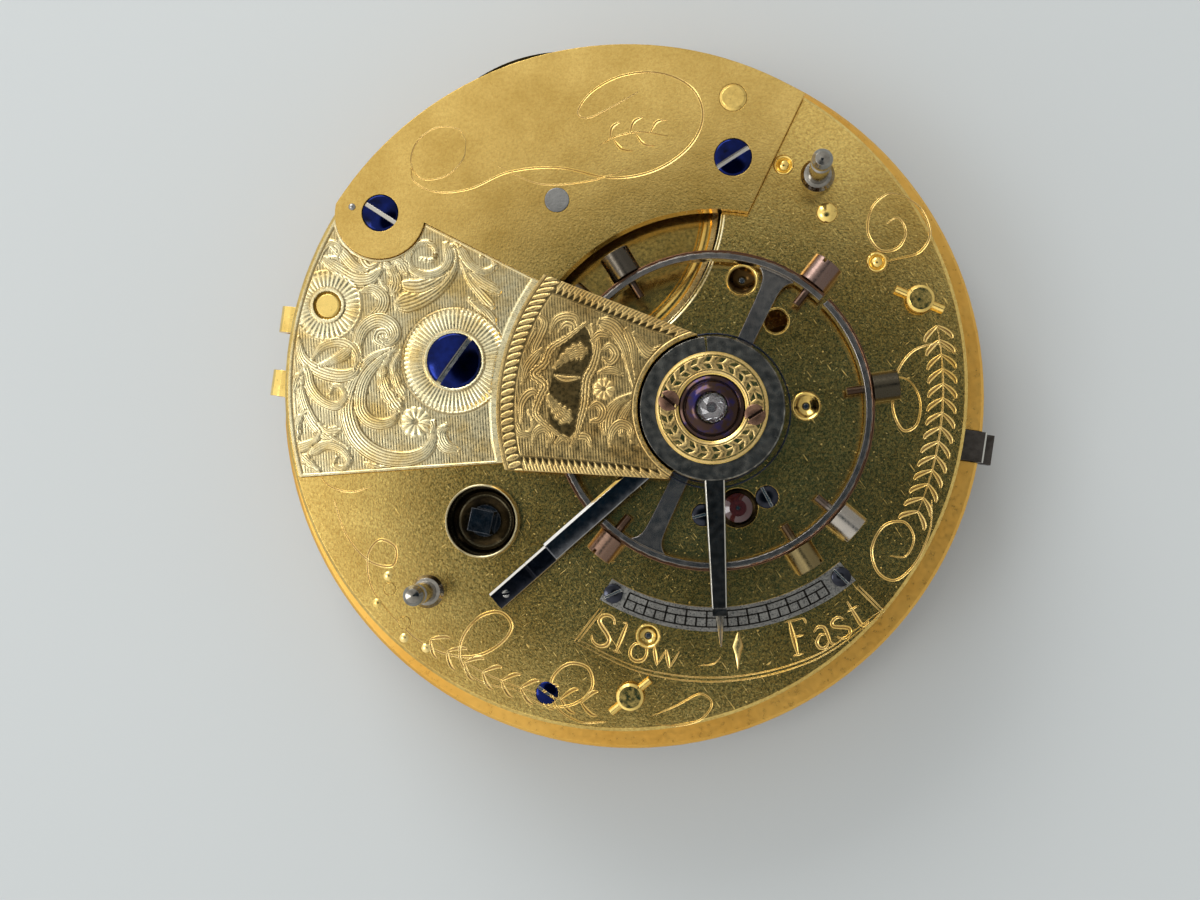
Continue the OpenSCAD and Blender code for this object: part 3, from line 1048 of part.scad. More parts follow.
brass_edge();
dial_side_screws();
pillar_plate();
pillars();
pillar_pins();
top_plate();
barrel_bridge();
bridge_screws();
balance_cock();
cock_screw();
cock_jewel_ring();
jewel_ring_screws();
end_stone_setting();
end_stone();
ruby_jewels();
index_scale();
scale_screws();
stud_arm();
hairspring();
dust_cap_studs();
winding_cup();
escape_jewel_setting();
plate_screws();
plate_bushes();
potence();
barrel_arbor();
setup_ratchet();
setup_click();
fusee_chain();
case_joint();
stop_stud();
barrel();
barrel_cover();
mainspring();
great_wheel();
maintaining_ratchet();
fusee_cone();
fusee_arbor();
centre_wheel();
centre_arbor();
cannon_pinion();
third_wheel();
third_arbor();
fourth_wheel();
fourth_arbor();
escape_wheel();
escape_arbor();
lever();
pallets();
pallet_arbor();
balance_wheel();
balance_screws();
balance_staff();
roller();
regulator();
bolt();
maintaining_detent();
stop_finger();
minute_wheel();
hour_wheel();
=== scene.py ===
"""Pocket watch movement: the finishes, the engraving and the wound pieces round the CAD frame."""

import json
import math

import bmesh
import bpy
import numpy as np
from mathutils import Matrix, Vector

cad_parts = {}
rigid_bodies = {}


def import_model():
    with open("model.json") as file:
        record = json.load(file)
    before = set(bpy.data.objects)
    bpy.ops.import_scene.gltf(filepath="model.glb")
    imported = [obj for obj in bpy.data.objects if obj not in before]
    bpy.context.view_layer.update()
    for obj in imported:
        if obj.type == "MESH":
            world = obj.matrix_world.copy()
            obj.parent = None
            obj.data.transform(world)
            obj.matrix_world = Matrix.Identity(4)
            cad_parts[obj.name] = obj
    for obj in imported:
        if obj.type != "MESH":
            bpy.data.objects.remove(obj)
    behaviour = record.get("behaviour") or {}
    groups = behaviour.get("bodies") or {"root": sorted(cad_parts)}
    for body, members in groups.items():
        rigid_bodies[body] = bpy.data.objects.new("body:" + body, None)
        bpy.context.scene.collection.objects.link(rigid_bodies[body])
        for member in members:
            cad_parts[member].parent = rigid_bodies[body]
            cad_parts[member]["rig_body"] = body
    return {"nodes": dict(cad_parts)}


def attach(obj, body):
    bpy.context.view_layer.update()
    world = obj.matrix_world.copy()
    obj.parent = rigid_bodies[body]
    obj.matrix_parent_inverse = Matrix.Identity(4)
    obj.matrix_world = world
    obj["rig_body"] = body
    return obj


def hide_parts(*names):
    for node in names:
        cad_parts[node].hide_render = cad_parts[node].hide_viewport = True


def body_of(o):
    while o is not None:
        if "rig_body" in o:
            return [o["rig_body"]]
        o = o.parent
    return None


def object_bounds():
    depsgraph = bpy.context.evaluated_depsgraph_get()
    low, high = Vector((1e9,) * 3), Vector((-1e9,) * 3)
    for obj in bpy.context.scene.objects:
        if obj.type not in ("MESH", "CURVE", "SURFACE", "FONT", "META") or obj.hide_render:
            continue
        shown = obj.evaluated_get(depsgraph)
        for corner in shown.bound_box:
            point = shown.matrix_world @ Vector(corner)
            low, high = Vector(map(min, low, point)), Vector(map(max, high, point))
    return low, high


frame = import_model()
CAD_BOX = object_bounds()

bl_info = {
    "name": "Pocket watch movement",
    "version": (1, 0, 0),
    "blender": (4, 5, 0),
    "location": "3D View > Sidebar > Movement",
    "description": "Finishes, engraving, springs and chain of a full plate fusee movement",
    "category": "Object",
}


def unit(degrees):
    """The level direction at an angle in degrees."""
    a = math.radians(degrees)
    return np.array([math.cos(a), math.sin(a)])


# All places below are in millimetres in the frame of the CAD model
MM = 0.001
Z_PLATE = 11.0
Z_BRIDGE = 11.8
Z_FOOT = 11.55
Z_TABLE = 14.5
Z_BOSS = 14.5
BALANCE = np.array([5.46, -1.52])
FUSEE = np.array([-8.12, -7.94])
BARREL = np.array([-3.66, 11.03])
COCK_SCREW = np.array([-9.81, 1.57])
COCK_PILLAR = 18.2 * unit(164.2)

# The camera: size of the picture in pixels, place, direction, focal length in pixels and sensor width
PICTURE = (1200, 900)
CAM_AT = np.array([5.949, -6.837, 96.833])
CAM_AIM = np.array([-0.0826, 0.0359, -0.9959])
CAM_AIM = CAM_AIM / np.linalg.norm(CAM_AIM)
CAM_RIGHT = np.cross(CAM_AIM, [0.0, 1.0, 0.0])
CAM_RIGHT = CAM_RIGHT / np.linalg.norm(CAM_RIGHT)
CAM_UP = np.cross(CAM_RIGHT, CAM_AIM)
CAM_FOCUS = 1456.19
CAM_SENSOR = 36.0


def linear(code):
    """An sRGB hex colour as linear red, green, blue and alpha; a colour that is linear already stays as
    it is."""
    if not isinstance(code, str):
        return tuple(code)
    value = np.array([int(code[i:i + 2], 16) for i in (1, 3, 5)]) / 255.0
    low = value / 12.92
    high = ((value + 0.055) / 1.055) ** 2.4
    return tuple(np.where(value <= 0.04045, low, high)) + (1.0,)


def spot(u, v, z):
    """The point at height z that pixel u, v of the picture shows, where a ray from the camera meets a
    level plane."""
    u = np.asarray(u, float)[..., None]
    v = np.asarray(v, float)[..., None]
    right = u - PICTURE[0] / 2
    up = PICTURE[1] / 2 - v
    ray = CAM_AIM + CAM_RIGHT * right / CAM_FOCUS + CAM_UP * up / CAM_FOCUS
    hit = CAM_AT + ray * ((z - CAM_AT[2]) / ray[..., 2:3])
    return hit[..., :2]


def pixel_mm(z):
    """The width in millimetres of one pixel of the picture at height z."""
    return (CAM_AT[2] - z) / CAM_FOCUS


# Sizes and colours that a user would change


class MovementSizes(bpy.types.PropertyGroup):
    """Sizes of the pieces that are made here."""

    cut_depth: bpy.props.FloatProperty(
        name="Cut depth", description="Depth of the engraving on the cock, in millimetres",
        default=0.09, min=0.02, max=0.2)
    stroke_rise: bpy.props.FloatProperty(
        name="Stroke burr", description="Rise of the burr beside an engraved stroke, in millimetres",
        default=0.03, min=0.01, max=0.06)
    hair_turns: bpy.props.FloatProperty(
        name="Hairspring turns", description="Turns of the hairspring",
        default=9.5, min=5.0, max=13.0)
    main_turns: bpy.props.FloatProperty(
        name="Mainspring turns", description="Turns of the mainspring in the barrel",
        default=10.0, min=6.0, max=12.0)
    link_pitch: bpy.props.FloatProperty(
        name="Link pitch", description="Distance between the rivets of the chain, in millimetres",
        default=0.62, min=0.4, max=1.2)


class MovementColours(bpy.types.PropertyGroup):
    """Colours of the finishes."""

    gilt: bpy.props.FloatVectorProperty(
        name="Gilding", description="Colour of the mercury gilding",
        subtype="COLOR", size=4, min=0, max=1, default=linear("#FFDC80"))
    tarnish: bpy.props.FloatVectorProperty(
        name="Tarnish", description="Colour of dulled gilding",
        subtype="COLOR", size=4, min=0, max=1, default=linear("#D8B25E"))
    brass: bpy.props.FloatVectorProperty(
        name="Brass", description="Colour of the wheels' brass",
        subtype="COLOR", size=4, min=0, max=1, default=linear("#DDB668"))
    blue: bpy.props.FloatVectorProperty(
        name="Blued steel", description="Colour of heat blued steel",
        subtype="COLOR", size=4, min=0, max=1, default=linear("#1A2664"))
    steel: bpy.props.FloatVectorProperty(
        name="Steel", description="Colour of polished steel",
        subtype="COLOR", size=4, min=0, max=1, default=linear("#A9A7A2"))
    grey: bpy.props.FloatVectorProperty(
        name="Greyed steel", description="Colour of the regulator's steel",
        subtype="COLOR", size=4, min=0, max=1, default=linear("#A8A296"))
    floor: bpy.props.FloatVectorProperty(
        name="Floor", description="Colour of the floor",
        subtype="COLOR", size=4, min=0, max=1, default=linear("#C7CCCD"))


# Nodes and materials


def add_node(tree, kind, values=None, ramp=None):
    """Adds a node: values set its inputs or its own settings, or join its inputs to other nodes; ramp
    fills its colour stops."""
    node = tree.nodes.new(kind)
    for key, value in (values or {}).items():
        if isinstance(value, bpy.types.NodeSocket):
            tree.links.new(value, node.inputs[key])
        elif isinstance(key, int) or key in node.inputs:
            node.inputs[key].default_value = value
        else:
            setattr(node, key, value)
    if ramp:
        stops = node.color_ramp.elements
        while len(stops) < len(ramp):
            stops.new(1.0)
        for stop, (place, colour) in zip(stops, ramp):
            stop.position = place
            stop.color = colour
    return node


def grey(value):
    """A grey of that linear value, as a colour stop."""
    return (value, value, value, 1.0)


def noise(tree, place, scale, detail, rough=0.5):
    """Cloudy noise with scale patches to the metre."""
    values = {"Scale": scale, "Detail": detail, "Roughness": rough, "Vector": place}
    return add_node(tree, "ShaderNodeTexNoise", values).outputs["Fac"]


def gradient(tree, kind, values):
    """A gradient about the middle of coordinates that are moved and scaled first."""
    moved = add_node(tree, "ShaderNodeMapping", values).outputs["Vector"]
    return add_node(tree, "ShaderNodeTexGradient", {"gradient_type": kind, "Vector": moved}).outputs["Fac"]


def ramped(tree, value, *stops):
    """A value run through colour stops."""
    return add_node(tree, "ShaderNodeValToRGB", {"Fac": value}, stops).outputs["Color"]


def mixed(tree, share, first, second, blend="MIX"):
    """Two colours mixed by a share."""
    values = {"data_type": "RGBA", "blend_type": blend, 0: share, 6: first, 7: second}
    return add_node(tree, "ShaderNodeMix", values).outputs[2]


def coordinates(tree):
    """The object's own coordinates."""
    return add_node(tree, "ShaderNodeTexCoord").outputs["Object"]


def material(name):
    """A new material with an empty tree: the material and its tree."""
    mat = bpy.data.materials.new(name)
    mat.use_nodes = True
    mat.node_tree.nodes.clear()
    return mat, mat.node_tree


def surface(tree, values):
    """The shader with its values, joined to the material's output."""
    body = add_node(tree, "ShaderNodeBsdfPrincipled", values)
    add_node(tree, "ShaderNodeOutputMaterial", {"Surface": body.outputs["BSDF"]})


def base_colour(tree):
    """The colour input of a material's shader, and the socket that feeds it."""
    base = [n for n in tree.nodes if n.type == "BSDF_PRINCIPLED"][0].inputs["Base Color"]
    return base, base.links[0].from_socket


# Radius in millimetres to which the edges of metal are broken
EDGE_MM = 0.05
# Wear of the gilding: direction of the marks in degrees, their width and length in millimetres, and where
# they start
WEAR = [(35, 0.08, 1.3, 0.755), (-52, 0.07, 0.9, 0.765), (0, 0.16, 0.16, 0.745)]


def metal(name, bright, dull, rough, patch_mm, patch, grain_mm, grain_um, speck=0.0, speck_colour="#3A3020",
          tone_and_painted_light_colour=None, rough_spread=0.08, worn=0.0, dust=(0.26, 0.60, 0.72)):
    """A metal: two tones in cloudy patches, a fine grain in its bump and roughness, specks of dirt, a second
    colour along the cut attribute, and edges broken to a small radius; worn roughens it along
    scratches and in specks, which catch the light. The second colour paints shade in cuts, hollows and slots,
    paints highlights on bevels, rims and slots, and marks the brass layer of the balance. Sizes of patches
    and grain are in millimetres, the grain's depth in micrometres; patch tells where the noise turns from
    bright to dull, and dust has the specks' size and where they start and end."""
    mat, tree = material(name)
    place = coordinates(tree)
    clouds = noise(tree, place, 1000 / patch_mm, 5.0, 0.62)
    share = ramped(tree, clouds, (patch[0], grey(0.0)), (patch[1], grey(1.0)))
    colour = mixed(tree, share, linear(bright), linear(dull))
    grain = noise(tree, place, 1000 / grain_mm, 2.0, 0.6)
    if speck:
        pits = noise(tree, place, 1000 / dust[0], 2.0, 0.7)
        darkening = ramped(tree, pits, (dust[1], grey(0.0)), (dust[2], grey(speck)))
        colour = mixed(tree, darkening, colour, linear(speck_colour))
    # The second colour follows the cut attribute: painted shade in cuts, hollows and slots, painted
    # highlights on bevels, rims and slots, and the balance's brass layer
    if tone_and_painted_light_colour:
        cut = add_node(tree, "ShaderNodeAttribute", {"attribute_name": "cut"}).outputs["Fac"]
        colour = mixed(tree, cut, colour, linear(tone_and_painted_light_colour))
    spread = {"Value": grain, "From Min": 0.3, "From Max": 0.7, "To Min": rough - rough_spread,
              "To Max": rough + rough_spread}
    gloss = add_node(tree, "ShaderNodeMapRange", spread).outputs["Result"]
    if worn:
        for turn, wide, long, start in WEAR:
            stretch = {"vector_type": "TEXTURE", "Rotation": (0, 0, math.radians(turn)),
                       "Scale": (wide * MM, long * MM, long * MM), "Vector": place}
            lines = add_node(tree, "ShaderNodeMapping", stretch).outputs["Vector"]
            marks = noise(tree, lines, 1.0, 1.0)
            mask = ramped(tree, marks, (start, grey(0.0)), (start + 0.04, grey(worn)))
            gloss = add_node(tree, "ShaderNodeMath", {"operation": "ADD", 0: gloss, 1: mask}).outputs["Value"]
    broken = add_node(tree, "ShaderNodeBevel", {"samples": 4, "Radius": EDGE_MM * MM}).outputs["Normal"]
    relief = {"Strength": 1.0, "Distance": grain_um * 1e-6, "Height": grain, "Normal": broken}
    bump = add_node(tree, "ShaderNodeBump", relief).outputs["Normal"]
    surface(tree, {"Metallic": 1.0, "Base Color": colour, "Roughness": gloss, "Normal": bump})
    return mat


def jewel(name, colour, depth_colour, ior, rough, weight):
    """A stone: a clear body of one colour with faint clouds in its depth."""
    mat, tree = material(name)
    cloud_mm = 0.5
    clouds = noise(tree, coordinates(tree), 1000 / cloud_mm, 3.0)
    tone = mixed(tree, clouds, linear(colour), linear(depth_colour))
    surface(tree, {"Metallic": 0.0, "Roughness": rough, "IOR": ior, "Transmission Weight": weight,
                   "Base Color": tone})
    return mat


def balance_screw_metal(name, tones_and_reflections):
    """Polished screws whose tone changes from one to the next: sectors round the balance axis carry the
    colours, partly the screws' own metals and partly painted reflection."""
    mat = metal(name, "#8E7F6A", "#6B5E52", 0.27, 0.8, (0.4, 0.7), 0.15, 1.6)
    tree = mat.node_tree
    to_axis = (-BALANCE[0] * MM, -BALANCE[1] * MM, 0.0)
    turn = gradient(tree, "RADIAL", {"Location": to_axis, "Vector": coordinates(tree)})
    stops = [(start, linear(code)) for start, code in tones_and_reflections]
    sectors = add_node(tree, "ShaderNodeValToRGB", {"Fac": turn}, stops)
    sectors.color_ramp.interpolation = "CONSTANT"
    base, old = base_colour(tree)
    tree.links.new(mixed(tree, 0.55, sectors.outputs["Color"], old, "MULTIPLY"), base)
    return mat


def stain_and_shade_inside(mat, radius_mm, stain_and_shade, centre=(0.0, 0.0)):
    """Lays a darker colour over a finish inside a radius about an upright axis: a gradient from the axis
    gives its share. On the pillar plate it is painted shade between the plates, with old oil; on the balance
    screws it is the brown of their threads."""
    tree = mat.node_tree
    share = 1000 / radius_mm
    start = (-centre[0] / radius_mm, -centre[1] / radius_mm, 0.0)
    disc = gradient(tree, "SPHERICAL", {"Location": start, "Scale": (share, share, 0.0),
                                        "Vector": coordinates(tree)})
    inside = ramped(tree, disc, (0.0, grey(0.0)), (0.05, grey(0.85)))
    base, old = base_colour(tree)
    tree.links.new(mixed(tree, inside, old, linear(stain_and_shade)), base)
    return mat


FINISHES = {}
# Tones of the balance screws: where a sector starts, as a share of a turn, and its colour; partly the screws'
# own metals, partly painted reflection: the darkest stands for a screw mirroring the dim room overhead, and
# the palest holds a painted highlight
SCREW_TONES_AND_REFLECTIONS = [(0.0, "#8C8A84"), (0.08, "#B49482"), (0.25, "#A8986C"), (0.365, "#D8D4CC"), (0.45, "#5E594C"),
               (0.58, "#A08880"), (0.75, "#6A655C"), (0.87, "#8A8272")]


def make_finishes(context):
    """All finishes of the movement, by the names that the pieces use."""
    c = context.scene.movement_colours
    # Mercury gilt brass, frosted with grit before gilding: a warm satin with a sparkling grain and dirt
    # in its pits
    FINISHES["frosted"] = metal("gilt_brass_frosted", c.gilt, c.tarnish, 0.16, 5.0, (0.35, 0.75), 0.12, 2.8,
                                0.42, "#A87426", rough_spread=0.05, worn=0.35, dust=(0.2, 0.42, 0.66))
    # The same on the bridge, with a finer frost and less wear
    FINISHES["fine_frosted"] = metal("gilt_brass_fine_frosted", "#F2CE78", "#CCA756", 0.16, 5.0,
                                     (0.35, 0.75), 0.12, 2.6, 0.22, "#A87426", rough_spread=0.05, worn=0.15,
                                     dust=(0.2, 0.42, 0.66))
    # Gilding on the bright cut foot: pale on the leaves, for worn gilding and for a painted sheen of the
    # light the cuts throw back; the cuts darkened olive brown with painted shade
    FINISHES["bright_cut"] = metal("gilt_brass_bright_cut", "#FFF4C6", "#F6D890", 0.27, 2.2,
                                   (0.42, 0.66), 0.2, 3.0, 0.15, "#6A5C38", "#75581E")
    # The same on the table, its cuts darkened a deeper brown with painted shade
    FINISHES["engraved"] = metal("gilt_brass_engraved", "#F2D28C", "#D0A862", 0.27, 2.2, (0.4, 0.7),
                                 0.2, 3.0, 0.2, "#5A4A2C", "#2B2412")
    # The rolled lower edge, lacquered: a deeper orange than the frosted plate
    FINISHES["edge"] = metal("gilt_brass_lacquered", "#F4C060", "#E6AC4C", 0.34, 6.0, (0.35, 0.7), 0.3,
                             1.5)
    # The pillar plate has the same lacquer on its rim, and over the middle, between the plates, painted shade
    # with old oil
    lacquered = metal("gilt_brass_oil_and_painted_shade", "#F4C060", "#E6AC4C", 0.34, 6.0, (0.35, 0.7), 0.3, 1.5)
    FINISHES["pillar_gilt"] = stain_and_shade_inside(lacquered, 19.6, "#6A542C")
    # Strokes of the graver in the gilt plates: bright burrs along a groove whose red brown is painted shade
    FINISHES["graver"] = metal("gilt_brass_graver_cut", "#F8DC90", "#E6C060", 0.2, 3.0, (0.4, 0.75), 0.2,
                               2.0, 0.1, "#8A6A2E", "#96621E")
    # Gilt pieces that were polished on the lathe: pins, bushes and pillars; the dark second colour is old oil
    # in the bushes' sinks with painted shade, and painted shade down their bores
    FINISHES["polished_gilt"] = metal("gilt_brass_polished", c.gilt, c.tarnish, 0.14, 2.5, (0.45, 0.8), 0.3,
                                      2.0, 0.3, "#6A4E22", "#3A2A14")
    # Rolled and stoned brass of the wheels, a little duller than the gilding
    FINISHES["brass"] = metal("brass_stoned", c.brass, "#B58D48", 0.22, 3.0, (0.35, 0.75), 0.2, 4.0, 0.3)
    # The barrel's cover, turned smooth, so it mirrors the dim overhead
    FINISHES["turned_brass"] = metal("brass_turned", "#E4C06A", "#C49E4E", 0.17, 3.0, (0.35, 0.75), 0.2,
                                     1.5, 0.3, "#6A4E22", rough_spread=0.04)
    # Brass of the winding cup and of the escape jewel's setting, dark with old oil and with painted shade of
    # the hollows they sit in; the pale second colour is a painted highlight on the cup's rim
    FINISHES["dark_brass"] = metal("brass_oil_and_painted_shade", "#4C3E26", "#1E1912", 0.2, 1.6, (0.3, 0.6),
                                   0.2, 3.0, 0.4, "#15110C", "#B9AC86")
    # Steel heated until it turns blue, then left polished: black or bright blue by what it mirrors; the slots
    # are painted pale, for bare steel and for the highlight their walls catch
    FINISHES["blued"] = metal("steel_heat_blued", c.blue, "#121420", 0.1, 1.2, (0.35, 0.7), 0.3, 0.6,
                              0.1, "#151515", "#C9C4B8", rough_spread=0.03)
    # Blued steel worn towards violet and brown round the end stone
    FINISHES["violet"] = metal("steel_blued_worn", "#2C2A5C", "#43332C", 0.13, 0.7, (0.3, 0.5), 0.3,
                               1.5, rough_spread=0.04)
    # Steel polished flat with putty: mirror dark from above, light along its edges
    FINISHES["steel"] = metal("steel_polished", c.steel, "#7E7B76", 0.14, 2.0, (0.4, 0.8), 0.3, 1.5, 0.08,
                              "#3A332C", rough_spread=0.04)
    # The studs, turned and dulled by handling
    FINISHES["stud_steel"] = metal("steel_turned_dull", "#A39E94", "#6C6860", 0.13, 1.0, (0.4, 0.7), 0.3,
                                   1.0, 0.1, "#3A332C", rough_spread=0.03)
    # The regulator's steel, greyed by age, with rust freckles; its pale second colour is a painted highlight
    # for bevels, which none of its pieces carry
    FINISHES["greyed"] = metal("steel_greyed", c.grey, "#5A5A56", 0.23, 0.4, (0.3, 0.6), 0.2, 1.5,
                               0.12, "#2E2B25", "#C6C2B8", rough_spread=0.05)
    # Steel of the index, stoned to a satin
    FINISHES["satin"] = metal("steel_stoned", "#A19E97", "#827E77", 0.3, 1.2, (0.4, 0.75), 0.12,
                              7.0, 0.3, "#4A443C")
    # The upper bar of the stud arm and the winding square, polished black, with a pale painted highlight on
    # the arm's bevels
    FINISHES["black_polish"] = metal("steel_black_polished", "#707174", "#4C4D50", 0.1, 0.5, (0.4, 0.7),
                                     0.3, 1.0, 0.1, "#2A2622", "#E4E2DC", rough_spread=0.03)
    # The lower bar of the stud arm and small dark screws, with painted highlights on the bevelled edges and
    # in the slots
    FINISHES["dark_screw"] = metal("steel_dark_polished", "#3A3C44", "#24252A", 0.12, 0.8, (0.4, 0.7), 0.3,
                                   1.0, 0.1, "#1A1816", "#E0DCD2", rough_spread=0.03)
    # The bolt, dulled by old oil; the pale second colour is a painted highlight on the top bevel of its head
    FINISHES["bolt_steel"] = metal("steel_oiled_dull", "#5A5550", "#3C3834", 0.4, 0.8, (0.4, 0.7), 0.2,
                                   3.0, 0.2, "#2A2420", "#D2CEC4")
    # The pointer, browned almost black, with painted highlights on its bevels
    FINISHES["pointer_steel"] = metal("steel_greyed_dark", "#6E6C68", "#3A3A38", 0.2, 0.4, (0.3, 0.6),
                                      0.2, 1.5, 0.12, "#2E2B25", "#D6D2C8", rough_spread=0.05)
    # Screws of the jewel ring, browned by age, their slots darkened with painted shade
    FINISHES["brown"] = metal("steel_browned", "#8A6A56", "#5A4238", 0.24, 0.4, (0.35, 0.7), 0.2, 3.0,
                              0.2, "#2A2018", "#3A2A22")
    # Bimetal of the balance: brass melted on steel, the steel side polished grey
    FINISHES["bimetal"] = metal("bimetal_polished", "#9C968E", "#86807A", 0.2, 2.4, (0.45, 0.75),
                                0.4, 0.4, 0.05, "#5E5040", "#74543E", rough_spread=0.03)
    # Screws of steel, brass and worn gold, some tones standing for painted reflection; the threads inside the
    # rim are brown
    screws = balance_screw_metal("balance_screws_mixed", SCREW_TONES_AND_REFLECTIONS)
    FINISHES["balance_screws"] = stain_and_shade_inside(screws, 8.95, "#4A382C", BALANCE)
    # Spring steel, drawn, tempered and blued dark
    FINISHES["spring"] = metal("spring_steel_tempered", "#4C5468", "#2C3040", 0.2, 1.5, (0.4, 0.7),
                               0.3, 1.0)
    # Black wax in the divisions of the index
    FINISHES["wax"] = metal("steel_etched_black", "#2A2825", "#171614", 0.5, 0.5, (0.4, 0.7), 0.2, 2.0)
    # Garnet red brown jewel, and the clear cut end stone
    FINISHES["ruby"] = jewel("ruby_pierced", "#6E3432", "#3E1A1A", 1.77, 0.08, 0.3)
    FINISHES["stone"] = jewel("clear_stone_rose_cut", "#F6F4EE", "#DDE2EA", 1.77, 0.02, 0.95)


NODE_FINISH = {
    "frosted": ["top_plate", "balance_cock", "potence", "stop_stud"],
    "fine_frosted": ["barrel_bridge"],
    "edge": ["brass_edge"],
    "pillar_gilt": ["pillar_plate"],
    "polished_gilt": ["pillars", "pillar_pins", "plate_bushes", "cock_jewel_ring", "case_joint"],
    "brass": ["barrel", "great_wheel", "fusee_cone", "centre_wheel", "third_wheel", "fourth_wheel",
              "escape_wheel", "minute_wheel", "hour_wheel"],
    "turned_brass": ["barrel_cover"],
    "dark_brass": ["winding_cup", "escape_jewel_setting"],
    "blued": ["bridge_screws", "cock_screw", "plate_screws", "scale_screws"],
    "violet": ["end_stone_setting"],
    "black_polish": ["stud_arm", "fusee_arbor"],
    "stud_steel": ["dust_cap_studs"],
    "steel": ["barrel_arbor", "setup_ratchet", "setup_click", "maintaining_ratchet",
              "centre_arbor", "cannon_pinion", "third_arbor", "fourth_arbor", "escape_arbor", "lever",
              "pallets", "pallet_arbor", "balance_staff", "roller", "maintaining_detent", "stop_finger",
              "dial_side_screws"],
    "greyed": ["regulator"],
    "bolt_steel": ["bolt"],
    "satin": ["index_scale"],
    "brown": ["jewel_ring_screws"],
    "bimetal": ["balance_wheel"],
    "balance_screws": ["balance_screws"],
    "spring": ["hairspring", "mainspring", "fusee_chain"],
    "ruby": ["ruby_jewels"],
    "stone": ["end_stone"],
}


# Shapes as arrays of points


def grid_faces(rows, cols, wrap=False):
    """Four-cornered faces over a grid of points counted row by row; wrap joins the last column to the
    first."""
    i, j = np.meshgrid(np.arange(rows - 1), np.arange(cols if wrap else cols - 1), indexing="ij")
    k = (j + 1) % cols
    return np.stack([i * cols + j, i * cols + k, (i + 1) * cols + k, (i + 1) * cols + j], -1).reshape(-1, 4)


def around(centre, radius, angle, z=None):
    """Points at a radius and an angle in radians about the upright line through centre; z gives their
    heights."""
    flat = [centre[0] + radius * np.cos(angle), centre[1] + radius * np.sin(angle)]
    if z is not None:
        flat.append(z + 0 * flat[0])
    return np.stack(flat, -1)


def turned(centre, degrees, x, y, z):
    """Points of a level drawing, turned about its origin and set on a centre, with their heights."""
    c, s = unit(degrees)
    return np.stack([centre[0] + x * c - y * s, centre[1] + x * s + y * c, z], -1)


def lathe(profile, centre, steps=64, twist=0.0):
    """A profile of (radius, height) turned about the upright line through centre; twist turns each ring
    by a step."""
    profile = np.asarray(profile, float)
    turn = np.linspace(0, 2 * np.pi, steps, endpoint=False)
    angle = turn[None, :] + twist * np.arange(len(profile))[:, None] * np.pi / steps
    x = centre[0] + profile[:, :1] * np.cos(angle)
    y = centre[1] + profile[:, :1] * np.sin(angle)
    z = np.repeat(profile[:, 1:], steps, axis=1)
    points = np.stack([x, y, z], -1).reshape(-1, 3)
    return points, grid_faces(len(profile), steps, True).tolist(), None


def sweep(path, profile, width=1.0, cut=None):
    """A closed profile of (side, up) carried along a path: side lies level and square to the path; ends
    are capped."""
    path = np.asarray(path, float)
    profile = np.asarray(profile, float)
    along = np.gradient(path, axis=0)
    side = np.stack([along[:, 1], -along[:, 0], np.zeros(len(path))], -1)
    side = side / np.maximum(np.linalg.norm(side, axis=1, keepdims=True), 1e-9)
    wide = np.broadcast_to(np.asarray(width, float), (len(path),))[:, None, None]
    points = path[:, None, :] + side[:, None, :] * profile[None, :, :1] * wide
    points = points + np.array([0, 0, 1.0]) * profile[None, :, 1:]
    n, m = points.shape[:2]
    faces = grid_faces(n, m, True).tolist()
    faces.append(list(range(m - 1, -1, -1)))
    faces.append(list(range((n - 1) * m, n * m)))
    shade = None if cut is None else np.tile(np.asarray(cut, float), n)
    return points.reshape(-1, 3), faces, shade


def slab(top, low):
    """A closed slab: a grid of points on top, walls down to the height low, and strips across its
    underside."""
    rows, cols = top.shape[:2]
    count = rows * cols
    faces = grid_faces(rows, cols).tolist()
    ring = np.concatenate([np.arange(cols), np.arange(1, rows) * cols + cols - 1,
                           (rows - 1) * cols + np.arange(cols - 2, -1, -1),
                           np.arange(rows - 2, 0, -1) * cols])
    under = top.reshape(-1, 3)[ring].copy()
    under[:, 2] = low
    n = len(ring)
    k = np.arange(n)
    walls = np.stack([ring, count + k, count + (k + 1) % n, ring[(k + 1) % n]], -1)
    faces += walls.tolist()
    right = count + cols - 1 + np.arange(rows)
    left = count + (n - np.arange(rows)) % n
    strips = np.stack([left[1:-2], left[2:-1], right[2:-1], right[1:-2]], -1)
    faces += strips.tolist()
    faces.append((count + np.arange(cols)).tolist() + [int(right[1]), int(left[1])])
    last = count + cols - 1 + rows - 1 + np.arange(cols)
    faces.append(last.tolist() + [int(left[-2]), int(right[-2])])
    return np.concatenate([top.reshape(-1, 3), under]), faces, None


